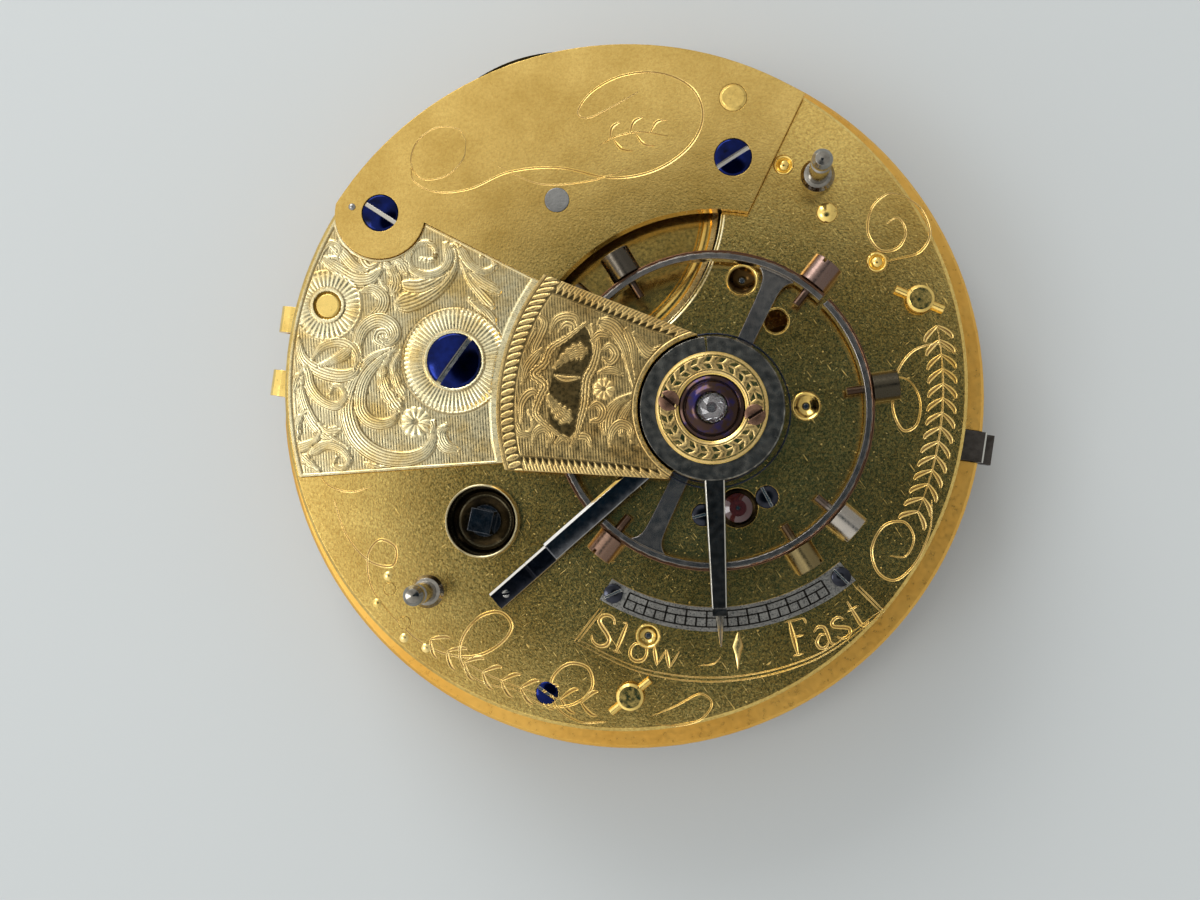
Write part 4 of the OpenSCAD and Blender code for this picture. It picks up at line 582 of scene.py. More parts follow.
def slotted_screw(centre, radius, low, top, dome, slot, deep, turn, shank, foot):
    """A screw: columns of points run along the slot, each as long as the round head is there; the head
    falls from its middle with the square of the distance, the slot's columns lie deep, and a plain shank
    goes on below. The slot is marked in the shade, which some finishes paint as a highlight and others as
    shade."""
    half = 0.5 * slot
    wall = 0.004
    near = math.asin((half + wall) / radius)
    side = radius * np.sin(np.linspace(near, 0.5 * np.pi * 0.985, 14))
    x = np.concatenate([-side[::-1], [wall - half, 0.0, half - wall], side])
    in_slot = np.abs(x) < half
    y = np.sin(np.linspace(-0.5 * np.pi, 0.5 * np.pi, 27))[:, None] * np.sqrt(radius ** 2 - x ** 2)[None, :]
    x = np.broadcast_to(x, y.shape)
    out = np.hypot(x, y) / radius
    z = top - dome * out ** 2 - 0.5 * radius * np.clip(out - 0.94, 0, 1)
    z = np.where(in_slot[None, :], deep, z)
    grid = turned(centre, turn - 90, x, y, z)
    points, faces, _ = slab(grid, low)
    shade = np.zeros(len(points))
    shade[:grid.shape[0] * grid.shape[1]] = np.broadcast_to(in_slot, y.shape).ravel()
    stem = lathe([(0.0, foot), (shank, foot), (shank, low + 0.02), (0.0, low + 0.02)], centre, 24)
    return joined([(points, faces, shade), stem])


def prisms(low, high):
    """Closed prisms: each has a ring of points below and the same ring above."""
    count, sides = low.shape[:2]
    j = np.arange(sides)
    start = 2 * sides * np.arange(count)[:, None]
    walls = np.stack([j, (j + 1) % sides, sides + (j + 1) % sides, sides + j], -1)
    faces = (walls[None] + start[..., None]).reshape(-1, 4).tolist()
    faces += (j[None, ::-1] + start).tolist()
    faces += (sides + j[None, :] + start).tolist()
    return np.stack([low, high], 1).reshape(-1, 3), faces, None


def joined(shapes):
    """Several shapes as one list of points, faces and cut shades."""
    points = []
    faces = []
    shades = []
    start = 0
    for p, f, s in shapes:
        points.append(p)
        faces += [[i + start for i in face] for face in f]
        shades.append(np.zeros(len(p)) if s is None else s)
        start += len(p)
    return np.concatenate(points), faces, np.concatenate(shades)


def piece(name, shape, finish, body="frame", replaced=(), smooth=40.0, cut=None):
    """Makes the object of a shape, merges doubled points, turns its faces outwards and lets it ride on a
    body."""
    points, faces, shade = shape
    mesh = bpy.data.meshes.new(name)
    mesh.from_pydata((points * MM).tolist(), [], faces)
    shade = cut if cut is not None else shade
    # The cut value of each point: finishes turn it into painted shade, into a painted highlight, and on the
    # balance into its brass layer
    if shade is not None:
        layer = mesh.attributes.new("cut", "FLOAT", "POINT")
        full = np.zeros(len(points), np.float32)
        full[:len(shade)] = shade
        layer.data.foreach_set("value", full)
    work = bmesh.new()
    work.from_mesh(mesh)
    bmesh.ops.remove_doubles(work, verts=work.verts, dist=2e-8)
    bmesh.ops.recalc_face_normals(work, faces=work.faces)
    work.to_mesh(mesh)
    work.free()
    if smooth:
        mesh.shade_smooth()
        mesh.set_sharp_from_angle(angle=math.radians(smooth))
    else:
        mesh.shade_flat()
    mesh.materials.append(FINISHES[finish])
    made = bpy.data.objects.new(name, mesh)
    bpy.context.scene.collection.objects.link(made)
    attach(made, body)
    if replaced:
        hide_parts(*replaced)
    return made


def curve_through(points, steps=14):
    """A smooth line through points: each span is a cubic whose slopes come from its neighbours."""
    p = np.asarray(points, float)
    p = np.concatenate([2 * p[:1] - p[1:2], p, 2 * p[-1:] - p[-2:-1]])
    t = np.linspace(0, 1, steps, endpoint=False)[None, :, None]
    a, b, c, d = p[:-3, None], p[1:-2, None], p[2:-1, None], p[3:, None]
    line = 0.5 * (2 * b + (c - a) * t + (2 * a - 5 * b + 4 * c - d) * t ** 2
                  + (3 * b - a - 3 * c + d) * t ** 3)
    return np.concatenate([line.reshape(-1, p.shape[1]), p[-2:-1]])


# Engraving: heights, and painted shade in the cuts, over a field of points


class Field:
    """A field of points with a height at each, and a darkness that paints the shade in the cuts."""

    def __init__(self, x, y):
        self.x = x
        self.y = y
        self.rise = np.zeros_like(x)
        self.cut = np.zeros_like(x)

    def away(self, centre):
        """The distance of each point from a centre."""
        return np.hypot(self.x - centre[0], self.y - centre[1])

    def hatch(self, pitch, angle, low, shade):
        """Ground of fine parallel cuts: a wave across the cuts lowers them and darkens them with painted
        shade.
        """
        a = math.radians(angle)
        wave = np.cos(2 * np.pi * (self.x * math.cos(a) + self.y * math.sin(a)) / pitch)
        drift = np.cos(2 * np.pi * (0.9 * self.x + 0.4 * self.y))
        drift = drift * np.cos(2 * np.pi * (0.3 * self.x - 0.7 * self.y))
        self.rise[:] = low + 0.006 * wave * (0.6 + 0.4 * drift)
        self.cut[:] = shade - 0.16 * wave

    def lay(self, where, rise, cut):
        """Puts a height and a shade, single ones or one for each point, where a test holds."""
        self.rise[where] = np.broadcast_to(rise, self.rise.shape)[where]
        self.cut[where] = np.broadcast_to(cut, self.cut.shape)[where]

    def leaf(self, points, half, veins, form, lobes=0):
        """A leaf along a line: the nearest place on the line gives the way along and the offset across;
        its width swells and tapers, grooves run along it, lobes notch its edge, and a cut runs round
        it. The grooves and the cut round it are darkened with painted shade."""
        line = curve_through(points, 10)
        low = line.min(0) - half
        high = line.max(0) + half
        near = np.nonzero((self.x > low[0]) & (self.x < high[0]) & (self.y > low[1]) & (self.y < high[1]))
        dx = self.x[near][:, None] - line[None, :, 0]
        dy = self.y[near][:, None] - line[None, :, 1]
        k = (dx ** 2 + dy ** 2).argmin(1)
        rows = np.arange(len(k))
        ahead = np.gradient(line, axis=0)
        ahead = ahead / np.linalg.norm(ahead, axis=1, keepdims=True)
        off = ahead[k, 0] * dy[rows, k] - ahead[k, 1] * dx[rows, k]
        past = ahead[k, 0] * dx[rows, k] + ahead[k, 1] * dy[rows, k]
        t = k / (len(line) - 1)
        shape = {
            "spindle": np.clip(np.sin(np.pi * (0.05 + 0.9 * t)), 0.0, 1.0) ** 0.6,
            "fan": (0.3 + 0.7 * np.clip(t / 0.7, 0, 1)) * np.sqrt(np.clip((1.03 - t) / 0.14, 0, 1)),
            "taper": (1.0 - 0.7 * t) * np.sqrt(np.clip((t + 0.02) / 0.08, 0, 1)),
        }[form]
        if lobes:
            shape = shape * (0.66 + 0.34 * np.abs(np.sin(np.pi * (lobes * t + 0.35 * np.abs(off) / half))))
        q = off / np.maximum(half * shape, 1e-6)
        inside = (np.abs(q) < 1.0) & (np.abs(past) < 0.12)
        vein = (0.5 + 0.5 * np.cos(np.pi * veins * (q + 1.0) + np.pi)) ** 0.7
        edge = np.clip((np.abs(q) - 0.80) / 0.16, 0, 1)
        rise = 0.010 * np.sqrt(np.clip(1 - q ** 2, 0, 1)) + 0.021 * vein - 0.035 * edge
        cut = np.clip(0.92 * (1 - vein) ** 1.1 + 0.75 * edge, 0, 1)
        spots = (near[0][inside], near[1][inside])
        self.rise[spots] = rise[inside]
        self.cut[spots] = cut[inside]

    def flower(self, centre, r_in, r_out, petals, crown=0.05, ring=0.0):
        """A rosette: petals swell and part round a centre; a plain ring can lie inside. The partings, the
        inner part and the ring's inner line are darkened with painted shade.
        """
        radius = self.away(centre)
        turn = np.arctan2(self.y - centre[1], self.x - centre[0])
        wave = np.abs(np.cos(petals * turn / 2))
        reach = r_out * (0.88 + 0.12 * wave)
        t = np.clip((radius - r_in) / np.maximum(reach - r_in, 1e-6), 0, 1)
        rise = crown * wave ** 0.7 * np.sin(np.pi * np.clip(0.15 + 0.75 * t, 0, 1))
        cut = np.clip(0.75 * (1 - wave ** 0.5) + 0.15 * (1 - t), 0, 1)
        self.lay((radius < reach) & (radius >= r_in), rise, cut)
        if ring:
            self.lay((radius < r_in) & (radius > r_in - ring), 0.035, 0.05)
            self.cut[np.abs(radius - r_in) < 0.05] = 0.7
            self.rise[np.abs(radius - r_out * 1.02) < 0.05] = 0.03

    def line(self, distance, width, depth=0.05, shade=0.75):
        """A cut along the places where a distance is zero: a valley of that width, darkened with painted
        shade.
        """
        self.lay(np.abs(distance) < width, -depth, shade)


def arc_crossing(radius, point, direction):
    """The angle about the balance axis where a circle of that radius meets the line through point along
    direction."""
    rel = np.asarray(point, float) - BALANCE
    ahead = np.asarray(direction, float) / np.linalg.norm(direction)
    along = -rel @ ahead
    foot = rel + along * ahead
    reach = np.sqrt(np.maximum(radius ** 2 - foot @ foot, 0))
    hit = foot[None, :] + reach[:, None] * ahead[None, :]
    return np.arctan2(hit[:, 1], hit[:, 0])


# How much wider the leaves are laid than the half widths in the lists
LEAF_SPREAD = 1.32
# Leaves of the cock foot: pixels of the picture that a leaf runs through, half width in pixels, grooves,
# form, lobes
FOOT_LEAVES = [
    ([(447, 425), (441, 435), (446, 446), (458, 450)], 5.5, 4, "spindle", 0),
    ([(366, 463), (381, 468), (398, 468)], 2.6, 2, "spindle", 4),
    ([(470, 300), (484, 311), (494, 324)], 4.5, 3, "fan", 0),
    ([(352, 331), (346, 319), (351, 306)], 4.0, 2, "fan", 3),
    ([(395, 348), (372, 359), (358, 376), (350, 396), (348, 412), (354, 433), (367, 448), (385, 457),
      (406, 459), (424, 453), (433, 440), (433, 422)], 6.8, 4, "spindle", 0),
    ([(395, 350), (380, 361), (367, 376), (361, 392), (361, 409), (369, 420), (382, 424), (393, 420),
      (398, 411)], 5.2, 3, "spindle", 0),
    ([(389, 357), (383, 370), (385, 385), (393, 400), (401, 410)], 6.4, 3, "fan", 5),
    ([(400, 352), (394, 366), (398, 384), (405, 397)], 4.4, 2, "fan", 4),
    ([(456, 245), (452, 270), (438, 287), (417, 299), (397, 305)], 8.2, 4, "fan", 0),
    ([(452, 246), (449, 264), (438, 278), (420, 286), (402, 285)], 5.6, 2, "fan", 0),
    ([(446, 244), (450, 258), (443, 270), (428, 275), (413, 270), (408, 257), (415, 246), (428, 243),
      (436, 250), (432, 260), (422, 259)], 4.4, 3, "taper", 0),
    ([(457, 246), (465, 265), (480, 281), (499, 292)], 4.4, 3, "fan", 0),
    ([(460, 248), (470, 264), (484, 272), (495, 266), (492, 256), (482, 256)], 4.2, 3, "taper", 0),
    ([(462, 264), (470, 281), (483, 296), (493, 307)], 3.6, 2, "fan", 0),
    ([(321, 257), (336, 268), (354, 279), (370, 279), (381, 270)], 6.4, 4, "spindle", 0),
    ([(326, 240), (341, 252), (354, 266), (367, 271)], 4.6, 3, "spindle", 0),
    ([(317, 262), (322, 250), (331, 243), (340, 248), (338, 257), (330, 257)], 3.6, 2, "taper", 0),
    ([(345, 231), (350, 246), (360, 254), (370, 250), (372, 240)], 3.6, 2, "spindle", 0),
    ([(381, 263), (377, 252), (367, 251), (363, 260), (370, 267), (378, 263)], 2.8, 1, "spindle", 0),
    ([(384, 261), (392, 270), (396, 282), (393, 293)], 6.0, 3, "fan", 4),
    ([(388, 258), (400, 262), (407, 273)], 4.2, 2, "fan", 3),
    ([(380, 280), (385, 290), (380, 300)], 4.2, 2, "fan", 3),
    ([(361, 292), (373, 289), (383, 297), (382, 308), (372, 318), (362, 327)], 5.0, 3, "spindle", 0),
    ([(361, 364), (358, 345), (364, 328), (378, 320), (391, 325), (395, 335), (388, 342), (380, 338)],
     6.0, 4, "spindle", 0),
    ([(384, 346), (376, 340), (378, 332), (386, 331), (389, 338)], 2.6, 1, "spindle", 0),
    ([(298, 338), (303, 358), (318, 370), (338, 376), (353, 373), (360, 363)], 5.4, 3, "spindle", 0),
    ([(313, 359), (322, 347), (337, 342), (350, 346), (357, 357), (355, 369)], 4.2, 2, "spindle", 0),
    ([(319, 366), (330, 362), (342, 356), (350, 350)], 4.8, 4, "fan", 0),
    ([(306, 367), (310, 386), (321, 400), (336, 406), (345, 398), (342, 388), (334, 386), (330, 393)],
     5.0, 3, "taper", 0),
    ([(303, 366), (301, 390), (308, 413), (318, 428), (332, 440), (348, 448)], 4.4, 3, "spindle", 0),
    ([(305, 370), (297, 378), (294, 390)], 4.2, 2, "fan", 3),
    ([(307, 411), (300, 418), (296, 428), (297, 438)], 5.0, 3, "fan", 4),
    ([(322, 429), (316, 440), (306, 446), (296, 449)], 4.2, 3, "fan", 0),
    ([(318, 423), (328, 431), (340, 430)], 4.4, 2, "fan", 4),
    ([(311, 453), (326, 445), (341, 449), (349, 460), (343, 468), (334, 465), (336, 458)],
     4.4, 3, "taper", 0),
    ([(320, 471), (310, 463), (301, 455)], 4.6, 3, "fan", 3),
]
# Rosettes: pixel of the centre, inner and outer radius in pixels, petals
FOOT_FLOWERS = [(416, 422, 3.5, 15.5, 11)]
# Leaves of the cock table, in the same way
TABLE_LEAVES = [
    ([(634, 385), (630, 365), (625, 345), (614, 328), (600, 322)], 6.4, 4, "fan", 0),
    ([(636, 380), (634, 360), (632, 344), (626, 330)], 4.0, 3, "fan", 0),
    ([(634, 394), (618, 403), (609, 416), (607, 433)], 6.4, 4, "fan", 0),
    ([(637, 396), (628, 408), (622, 420), (622, 434)], 4.0, 3, "fan", 0),
    ([(634, 334), (650, 353), (668, 346)], 5.0, 3, "spindle", 0),
    ([(538, 314), (545, 323), (540, 337), (535, 349), (541, 355)], 3.2, 2, "spindle", 0),
    ([(551, 331), (556, 320), (566, 316), (576, 318), (578, 327)], 3.2, 2, "spindle", 0),
    ([(560, 330), (566, 324), (573, 326), (571, 334)], 2.6, 1, "spindle", 0),
    ([(523, 382), (527, 368), (534, 358), (541, 350)], 4.0, 3, "spindle", 0),
    ([(526, 350), (530, 338), (534, 330)], 3.4, 2, "fan", 0),
    ([(522, 421), (521, 406), (526, 396), (534, 392), (540, 399)], 3.4, 2, "spindle", 0),
    ([(515, 424), (520, 433), (530, 433), (534, 422), (529, 412)], 3.6, 3, "taper", 0),
    ([(533, 443), (536, 432), (545, 428), (552, 436), (548, 445)], 3.6, 3, "spindle", 0),
    ([(556, 444), (562, 438), (570, 440)], 3.0, 2, "spindle", 0),
    ([(572, 445), (577, 437), (587, 437), (591, 445)], 3.2, 2, "spindle", 0),
    ([(611, 445), (612, 432), (620, 424), (630, 428), (632, 441)], 4.0, 3, "spindle", 0),
    ([(640, 444), (644, 432), (640, 420)], 4.0, 3, "spindle", 0),
    ([(585, 324), (567, 338), (551, 349), (545, 363), (534, 374), (545, 385), (540, 398), (536, 414),
      (549, 427), (566, 440)], 4.4, 1, "spindle", 26),
    ([(592, 326), (598, 345), (594, 365), (587, 380), (585, 403), (580, 423), (576, 440)],
     4.4, 1, "spindle", 20),
    ([(556, 367), (566, 357), (576, 352), (586, 351)], 7.6, 6, "fan", 5),
    ([(556, 376), (566, 379), (579, 378)], 2.8, 1, "spindle", 0),
    ([(549, 396), (554, 405), (561, 413), (570, 420)], 7.6, 6, "fan", 5),
    ([(603, 350), (610, 346), (616, 354), (611, 362), (604, 359)], 3.4, 2, "spindle", 0),
    ([(590, 408), (597, 404), (603, 410), (600, 419), (592, 421)], 3.4, 2, "spindle", 0),
    ([(600, 372), (612, 370), (622, 374)], 3.4, 3, "spindle", 0),
    ([(592, 340), (600, 334), (610, 336)], 3.2, 2, "spindle", 0),
]
TABLE_FLOWERS = [(604, 389, 2.5, 11.0, 9)]


def put_ornament(field, z, leaves, flowers):
    """Lays listed leaves and flowers, given in pixels of the picture, on a field at height z."""
    scale = pixel_mm(z)
    for pixels, half, veins, form, lobes in leaves:
        u, v = np.array(pixels, float).T
        field.leaf(spot(u, v, z), LEAF_SPREAD * half * scale, veins + (2 if half > 4 else 1), form, lobes)
    for u, v, r_in, r_out, petals in flowers:
        centre = spot(u, v, z)
        field.flower(centre, r_in * scale, r_out * scale, petals)
        field.lay(field.away(centre) < r_in * scale, 0.01, 0.6)


def foot_grid(rows, cols):
    """Points over the cock foot: lines run from the neck circle out to the plate edge, swung from side to
    side."""
    v = np.linspace(0, 1, rows)[:, None]
    u = np.linspace(0, 1, cols)[None, :]
    neck_r = 12.33
    low_a = np.array([-19.20, -5.33])
    low_b = np.array([-7.30, -4.52])
    side_a = np.array([-11.18, 9.59])
    side_b = np.array([-5.24, 6.52])
    lobe = np.array([-14.29, 10.44])
    edge_r = 19.87
    # Lower and upper ends of the neck arc
    low_ang = arc_crossing(np.array([neck_r]), low_b, low_a - low_b)[0]
    top_ang = arc_crossing(np.array([neck_r]), side_b, side_a - side_b)[0]
    low_ang = low_ang + (2 * np.pi if low_ang < 0 else 0)
    inner_ang = low_ang + (top_ang - low_ang) * u
    inner = BALANCE[:, None, None] + neck_r * np.stack([np.cos(inner_ang), np.sin(inner_ang)])
    # Outer arc on the plate edge, from the lower line to the lobe of the bridge
    low_dir = (low_a - low_b) / np.linalg.norm(low_a - low_b)
    along = -(low_b @ low_dir) + math.sqrt((low_b @ low_dir) ** 2 - low_b @ low_b + edge_r ** 2)
    low_out = low_b + along * low_dir
    a0 = math.atan2(low_out[1], low_out[0]) + 2 * np.pi
    gap = 2.79
    d = np.linalg.norm(lobe)
    a1 = math.atan2(lobe[1], lobe[0]) + math.acos((d * d + edge_r ** 2 - gap ** 2) / (2 * d * edge_r))
    outer_ang = a0 + (a1 - a0) * u
    outer = edge_r * np.stack([np.cos(outer_ang), np.sin(outer_ang)])
    # Upper side: along the bridge line to the lobe, then round the lobe to the plate edge
    side_dir = (side_a - side_b) / np.linalg.norm(side_a - side_b)
    side_nrm = np.array([-side_dir[1], side_dir[0]])
    inset = 0.03
    start = BALANCE + neck_r * np.array([math.cos(top_ang), math.sin(top_ang)]) + side_nrm * inset
    rel = start - lobe
    reach = -(rel @ side_dir) - math.sqrt((rel @ side_dir) ** 2 - rel @ rel + gap ** 2)
    corner = start + reach * side_dir
    b0 = math.atan2(corner[1] - lobe[1], corner[0] - lobe[0])
    end = edge_r * np.array([math.cos(a1), math.sin(a1)])
    b1 = math.atan2(end[1] - lobe[1], end[0] - lobe[0])
    b1 = b1 - (2 * np.pi if b1 > b0 else 0)
    arc_len = gap * abs(b1 - b0)
    whole = reach + arc_len
    s = np.linspace(0, whole, rows)
    on_line = start[None, :] + np.minimum(s, reach)[:, None] * side_dir
    turn = b0 + (b1 - b0) * np.clip((s - reach) / arc_len, 0, 1)
    on_arc = lobe[None, :] + gap * np.stack([np.cos(turn), np.sin(turn)], -1)
    upper = np.where((s > reach)[:, None], on_arc, on_line)
    low_in = inner[:, 0, 0]
    lower = low_in[None, :] + (low_out - low_in)[None, :] * v
    # A patch between the four borders: opposite borders mixed, less the corners counted twice
    inner = np.moveaxis(inner, 0, -1)[0][None]
    outer = np.moveaxis(outer, 0, -1)[0][None]
    lower = lower[:, None, :]
    upper = upper[:, None, :]
    u3 = u[..., None]
    v3 = v[..., None]
    borders = (1 - v3) * inner + v3 * outer + (1 - u3) * lower + u3 * upper
    corners = ((1 - u3) * (1 - v3) * lower[:1] + u3 * (1 - v3) * upper[:1]
               + (1 - u3) * v3 * lower[-1:] + u3 * v3 * upper[-1:])
    return borders - corners, u + 0 * v, v + 0 * u


# The table's inner and outer radius about the balance axis, the height of foot and table above the CAD's
# faces, and the rows and columns of their points
TABLE_IN = 4.27
TABLE_OUT = 12.27
ENGRAVED_LIFT = 0.065
ENGRAVED_GRID = (300, 315)


def table_grid(rows, cols):
    """Points over the cock table: arcs about the balance axis, from side to side of the wedge."""
    v = np.linspace(0, 1, rows)
    u = np.linspace(0, 1, cols)
    radius = TABLE_IN + (TABLE_OUT - TABLE_IN) * v
    left = np.array([[-4.25, 6.26], [4.63, 2.68]])
    right = np.array([[-6.82, -4.94], [2.98, -5.52]])
    a = arc_crossing(radius, left[1], left[0] - left[1])
    b = arc_crossing(radius, right[1], right[0] - right[1])
    b = b + np.where(b < 0, 2 * np.pi, 0)
    # The corner by the pointer is cut off along a ray, so the pointer clears it
    corner = right[1] - BALANCE
    b = np.minimum(b, math.atan2(corner[1], corner[0]) + 2 * np.pi)
    span = (b - a)[:, None]
    r = radius[:, None]
    angle = a[:, None] + span * u[None, :]
    return around(BALANCE, r, angle), u[None, :] * span * r, r + 0 * angle, span * r


def teeth_band(field, across, along, width, pitch):
    """A border of pointed leaves: hatched outside, with painted shade between the points inside; across runs
    inwards.
    """
    inside = (across >= 0) & (across < width)
    phase = np.abs(np.mod(along / pitch, 1.0) - 0.5) * 2
    t = across / width
    leaf = np.clip((t - 0.45) / 0.45, 0, 1)
    gap = (phase > 1.0 - leaf * 0.92) & (t > 0.45)
    fine = 0.5 + 0.5 * np.cos(2 * np.pi * along / (pitch * 0.5))
    field.lay(inside, np.where(gap, -0.05, 0.012 * fine), np.where(gap, 0.92, 0.34 * (1 - fine)))
    field.line(across, 0.05, 0.0, 0.15)
    field.line(across - width, 0.05, 0.045, 0.7)


# Operators, one for each piece or group


class MOVEMENT_OT_finishes(bpy.types.Operator):
    """Gives every CAD node its finish"""

    bl_idname = "movement.finishes"
    bl_label = "Finishes of the CAD pieces"

    def execute(self, context):
        make_finishes(context)
        for finish, names in NODE_FINISH.items():
            for name in names:
                mesh = frame["nodes"][name].data
                mesh.materials.clear()
                mesh.materials.append(FINISHES[finish])
        return {"FINISHED"}


class MOVEMENT_OT_cock_foot(bpy.types.Operator):
    """Engraves the foot of the balance cock with scrolls and rosettes"""

    bl_idname = "movement.cock_foot"
    bl_label = "Engraved cock foot"

    def execute(self, context):
        deep = context.scene.movement_sizes.cut_depth
        flat, u, v = foot_grid(*ENGRAVED_GRID)
        field = Field(flat[..., 0], flat[..., 1])
        field.hatch(0.165, 4, -0.45 * deep, 0.46)
        put_ornament(field, Z_FOOT, FOOT_LEAVES, FOOT_FLOWERS)
        field.flower(COCK_PILLAR, 1.08, 2.02, 37, 0.03, 0.25)
        field.flower(COCK_SCREW, 1.85, 3.05, 67, 0.026, 0.2)
        from_screw = field.away(COCK_SCREW)
        from_pillar = field.away(COCK_PILLAR)
        field.line(from_screw - 3.18, 0.045)
        wide, long = 14.0, 7.5
        border = np.minimum(np.minimum(u, 1 - u) * wide, (1 - v) * long)
        field.lay(border < 0.15, 0.0, 0.3)
        field.line(border - 0.18, 0.04)
        field.lay(v * long < 0.45, 0.004 * np.cos(2 * np.pi * u * 90), 0.12)
        # Round the cock screw and the end of the pillar the engraving lies under the CAD's face
        screw_r, pillar_r = 1.52, 0.7
        rise = field.rise + ENGRAVED_LIFT
        rise[from_screw < screw_r] = -0.36
        rise[from_pillar < pillar_r] = -0.3
        # A ring of painted shade round the end of the pillar
        field.cut[(from_pillar > pillar_r) & (from_pillar < pillar_r + 0.17)] = 1.0
        top = np.concatenate([flat, (Z_FOOT + rise)[..., None]], -1)
        made = slab(top, Z_FOOT - 0.3)
        piece("cock_foot_engraving", made, "bright_cut", cut=field.cut.ravel(), smooth=75)
        return {"FINISHED"}


class MOVEMENT_OT_cock_table(bpy.types.Operator):
    """Engraves the table of the balance cock with borders of leaves and a field of scrolls"""

    bl_idname = "movement.cock_table"
    bl_label = "Engraved cock table"

    def execute(self, context):
        deep = context.scene.movement_sizes.cut_depth
        flat, across, radius, width = table_grid(*ENGRAVED_GRID)
        field = Field(flat[..., 0], flat[..., 1])
        field.hatch(0.16, 4, -0.4 * deep, 0.46)
        # A sunk oval ground behind the middle leaves, darkened with painted shade, with its centre and half
        # axes in pixels
        scale = pixel_mm(Z_TABLE)
        middle = spot(571, 383, Z_TABLE)
        half_wide, half_high = 20, 60
        tilt = math.radians(-10)
        dx = (field.x - middle[0]) * math.cos(tilt) + (field.y - middle[1]) * math.sin(tilt)
        dy = -(field.x - middle[0]) * math.sin(tilt) + (field.y - middle[1]) * math.cos(tilt)
        oval = (dx / (half_wide * scale)) ** 2 + (dy / (half_high * scale)) ** 2
        field.lay(oval < 1.0, -0.6 * deep, 0.86)
        put_ornament(field, Z_TABLE, TABLE_LEAVES, TABLE_FLOWERS)
        for from_side in (across, width - across):
            teeth_band(field, from_side, radius, 0.88, 0.34)
        # A band of twisted leaves along the outer arc, between a plain edge and a line; between the leaves it
        # is sunk and darkened with painted shade
        outer = TABLE_OUT - radius
        edge, stem, pitch = 0.18, 0.6, 0.42
        side = np.abs(outer - stem) / pitch
        turn = across / pitch + 0.7 * side * np.where(outer > stem, 1.0, -1.0)
        lobe = np.abs(2 * np.mod(turn, 1.0) - 1)
        leaf = lobe > 0.30 + 0.55 * side ** 2
        rise = np.where(leaf, 0.012 * lobe, -0.025)
        cut = np.where(leaf, 0.35 * (1 - lobe), 0.8)
        field.lay((outer > edge) & (outer < 1.0), rise, cut)
        field.lay(outer <= edge, 0.0, 0.0)
        field.line(outer - 0.2, 0.04)
        field.line(outer - 1.02, 0.045)
        near = radius - TABLE_IN
        field.lay(near < 0.22, 0.0, 0.05)
        field.line(near - 0.26, 0.035)
        top = np.concatenate([flat, (Z_TABLE + field.rise + ENGRAVED_LIFT)[..., None]], -1)
        made = slab(top, Z_TABLE - 0.12)
        piece("cock_table_engraving", made, "engraved", cut=field.cut.ravel(), smooth=75)
        return {"FINISHED"}


# Screws of the jewel ring: distance from the balance axis and directions in degrees
RING_SCREW_R = 2.45
RING_SCREW_TURNS = (170.5, -9.5)


class MOVEMENT_OT_jewel_ring(bpy.types.Operator):
    """Cuts leaves round the jewel ring on the cock and sets the faceted end stone"""

    bl_idname = "movement.jewel_ring"
    bl_label = "Jewel ring and end stone"

    def execute(self, context):
        steps, leaves = 420, 22
        radii = np.linspace(1.95, 3.14, 40)
        turn = np.linspace(0, 2 * np.pi, steps, endpoint=False)
        radius, angle = np.meshgrid(radii, turn, indexing="ij")
        field = Field(BALANCE[0] + radius * np.cos(angle), BALANCE[1] + radius * np.sin(angle))
        band_in, band_out = 2.12, 2.96
        t = (radius - band_in) / (band_out - band_in)
        off = np.abs(t - 0.5)
        phase = np.mod(angle * leaves / (2 * np.pi) + 0.9 * off, 1.0)
        leaf = np.abs(phase - 0.5) * 2
        dark = (leaf > 0.48 + 0.4 * off) & (off > 0.08) & (off < 0.40)
        inside = (t > 0) & (t < 1)
        vein = 0.5 + 0.5 * np.cos(10 * np.pi * leaf)
        field.lay(inside, 0.03 * (1 - leaf) + 0.01 * vein - 0.01, 0.2 + 0.25 * (1 - vein))
        # The sunk spaces between the leaves, and the two lines round the band, are darkened with painted
        # shade
        field.lay(dark, -0.05, 0.92)
        field.line(t, 0.05, 0.03, 0.7)
        field.line(t - 1.0, 0.05, 0.03, 0.7)
        # The ring falls off at both edges, and makes room for its two screws
        fall_in, fall_out, room = 2.05, 3.0, 0.40
        slope_out = np.where(radius > fall_out, -(radius - fall_out) * 0.75, 0.0)
        slope_in = np.where(radius < fall_in, -(fall_in - radius) * 0.5, 0.0)
        crown = slope_out + slope_in
        for side in RING_SCREW_TURNS:
            crown[field.away(BALANCE + RING_SCREW_R * unit(side)) < room] = -0.34
        z = Z_BOSS + 0.445 + field.rise + crown
        top = np.stack([field.x, field.y, z], -1)
        low = top[[-1, 0]].copy()
        low[..., 2] = Z_BOSS + 0.2
        ring = np.concatenate([low[1:], top, low[:1], low[1:]])
        shade = np.concatenate([np.zeros((1, steps)), field.cut, np.zeros((2, steps))])
        shape = ring.reshape(-1, 3), grid_faces(len(ring), steps, True).tolist(), None
        piece("jewel_ring_engraving", shape, "engraved", cut=shade.ravel(), smooth=75)
        # A rose cut: rings of nine corners, each turned half a step, under a small point
        z0 = Z_BOSS + 0.02
        cut_stone = [(0.0, z0), (0.80, z0), (0.84, z0 + 0.46), (0.64, z0 + 0.66), (0.32, z0 + 0.78),
                     (0.0, z0 + 0.80)]
        piece("end_stone_faceted", lathe(cut_stone, BALANCE, 9, 1.0), "stone",
              replaced=["end_stone"], smooth=0)
        return {"FINISHED"}


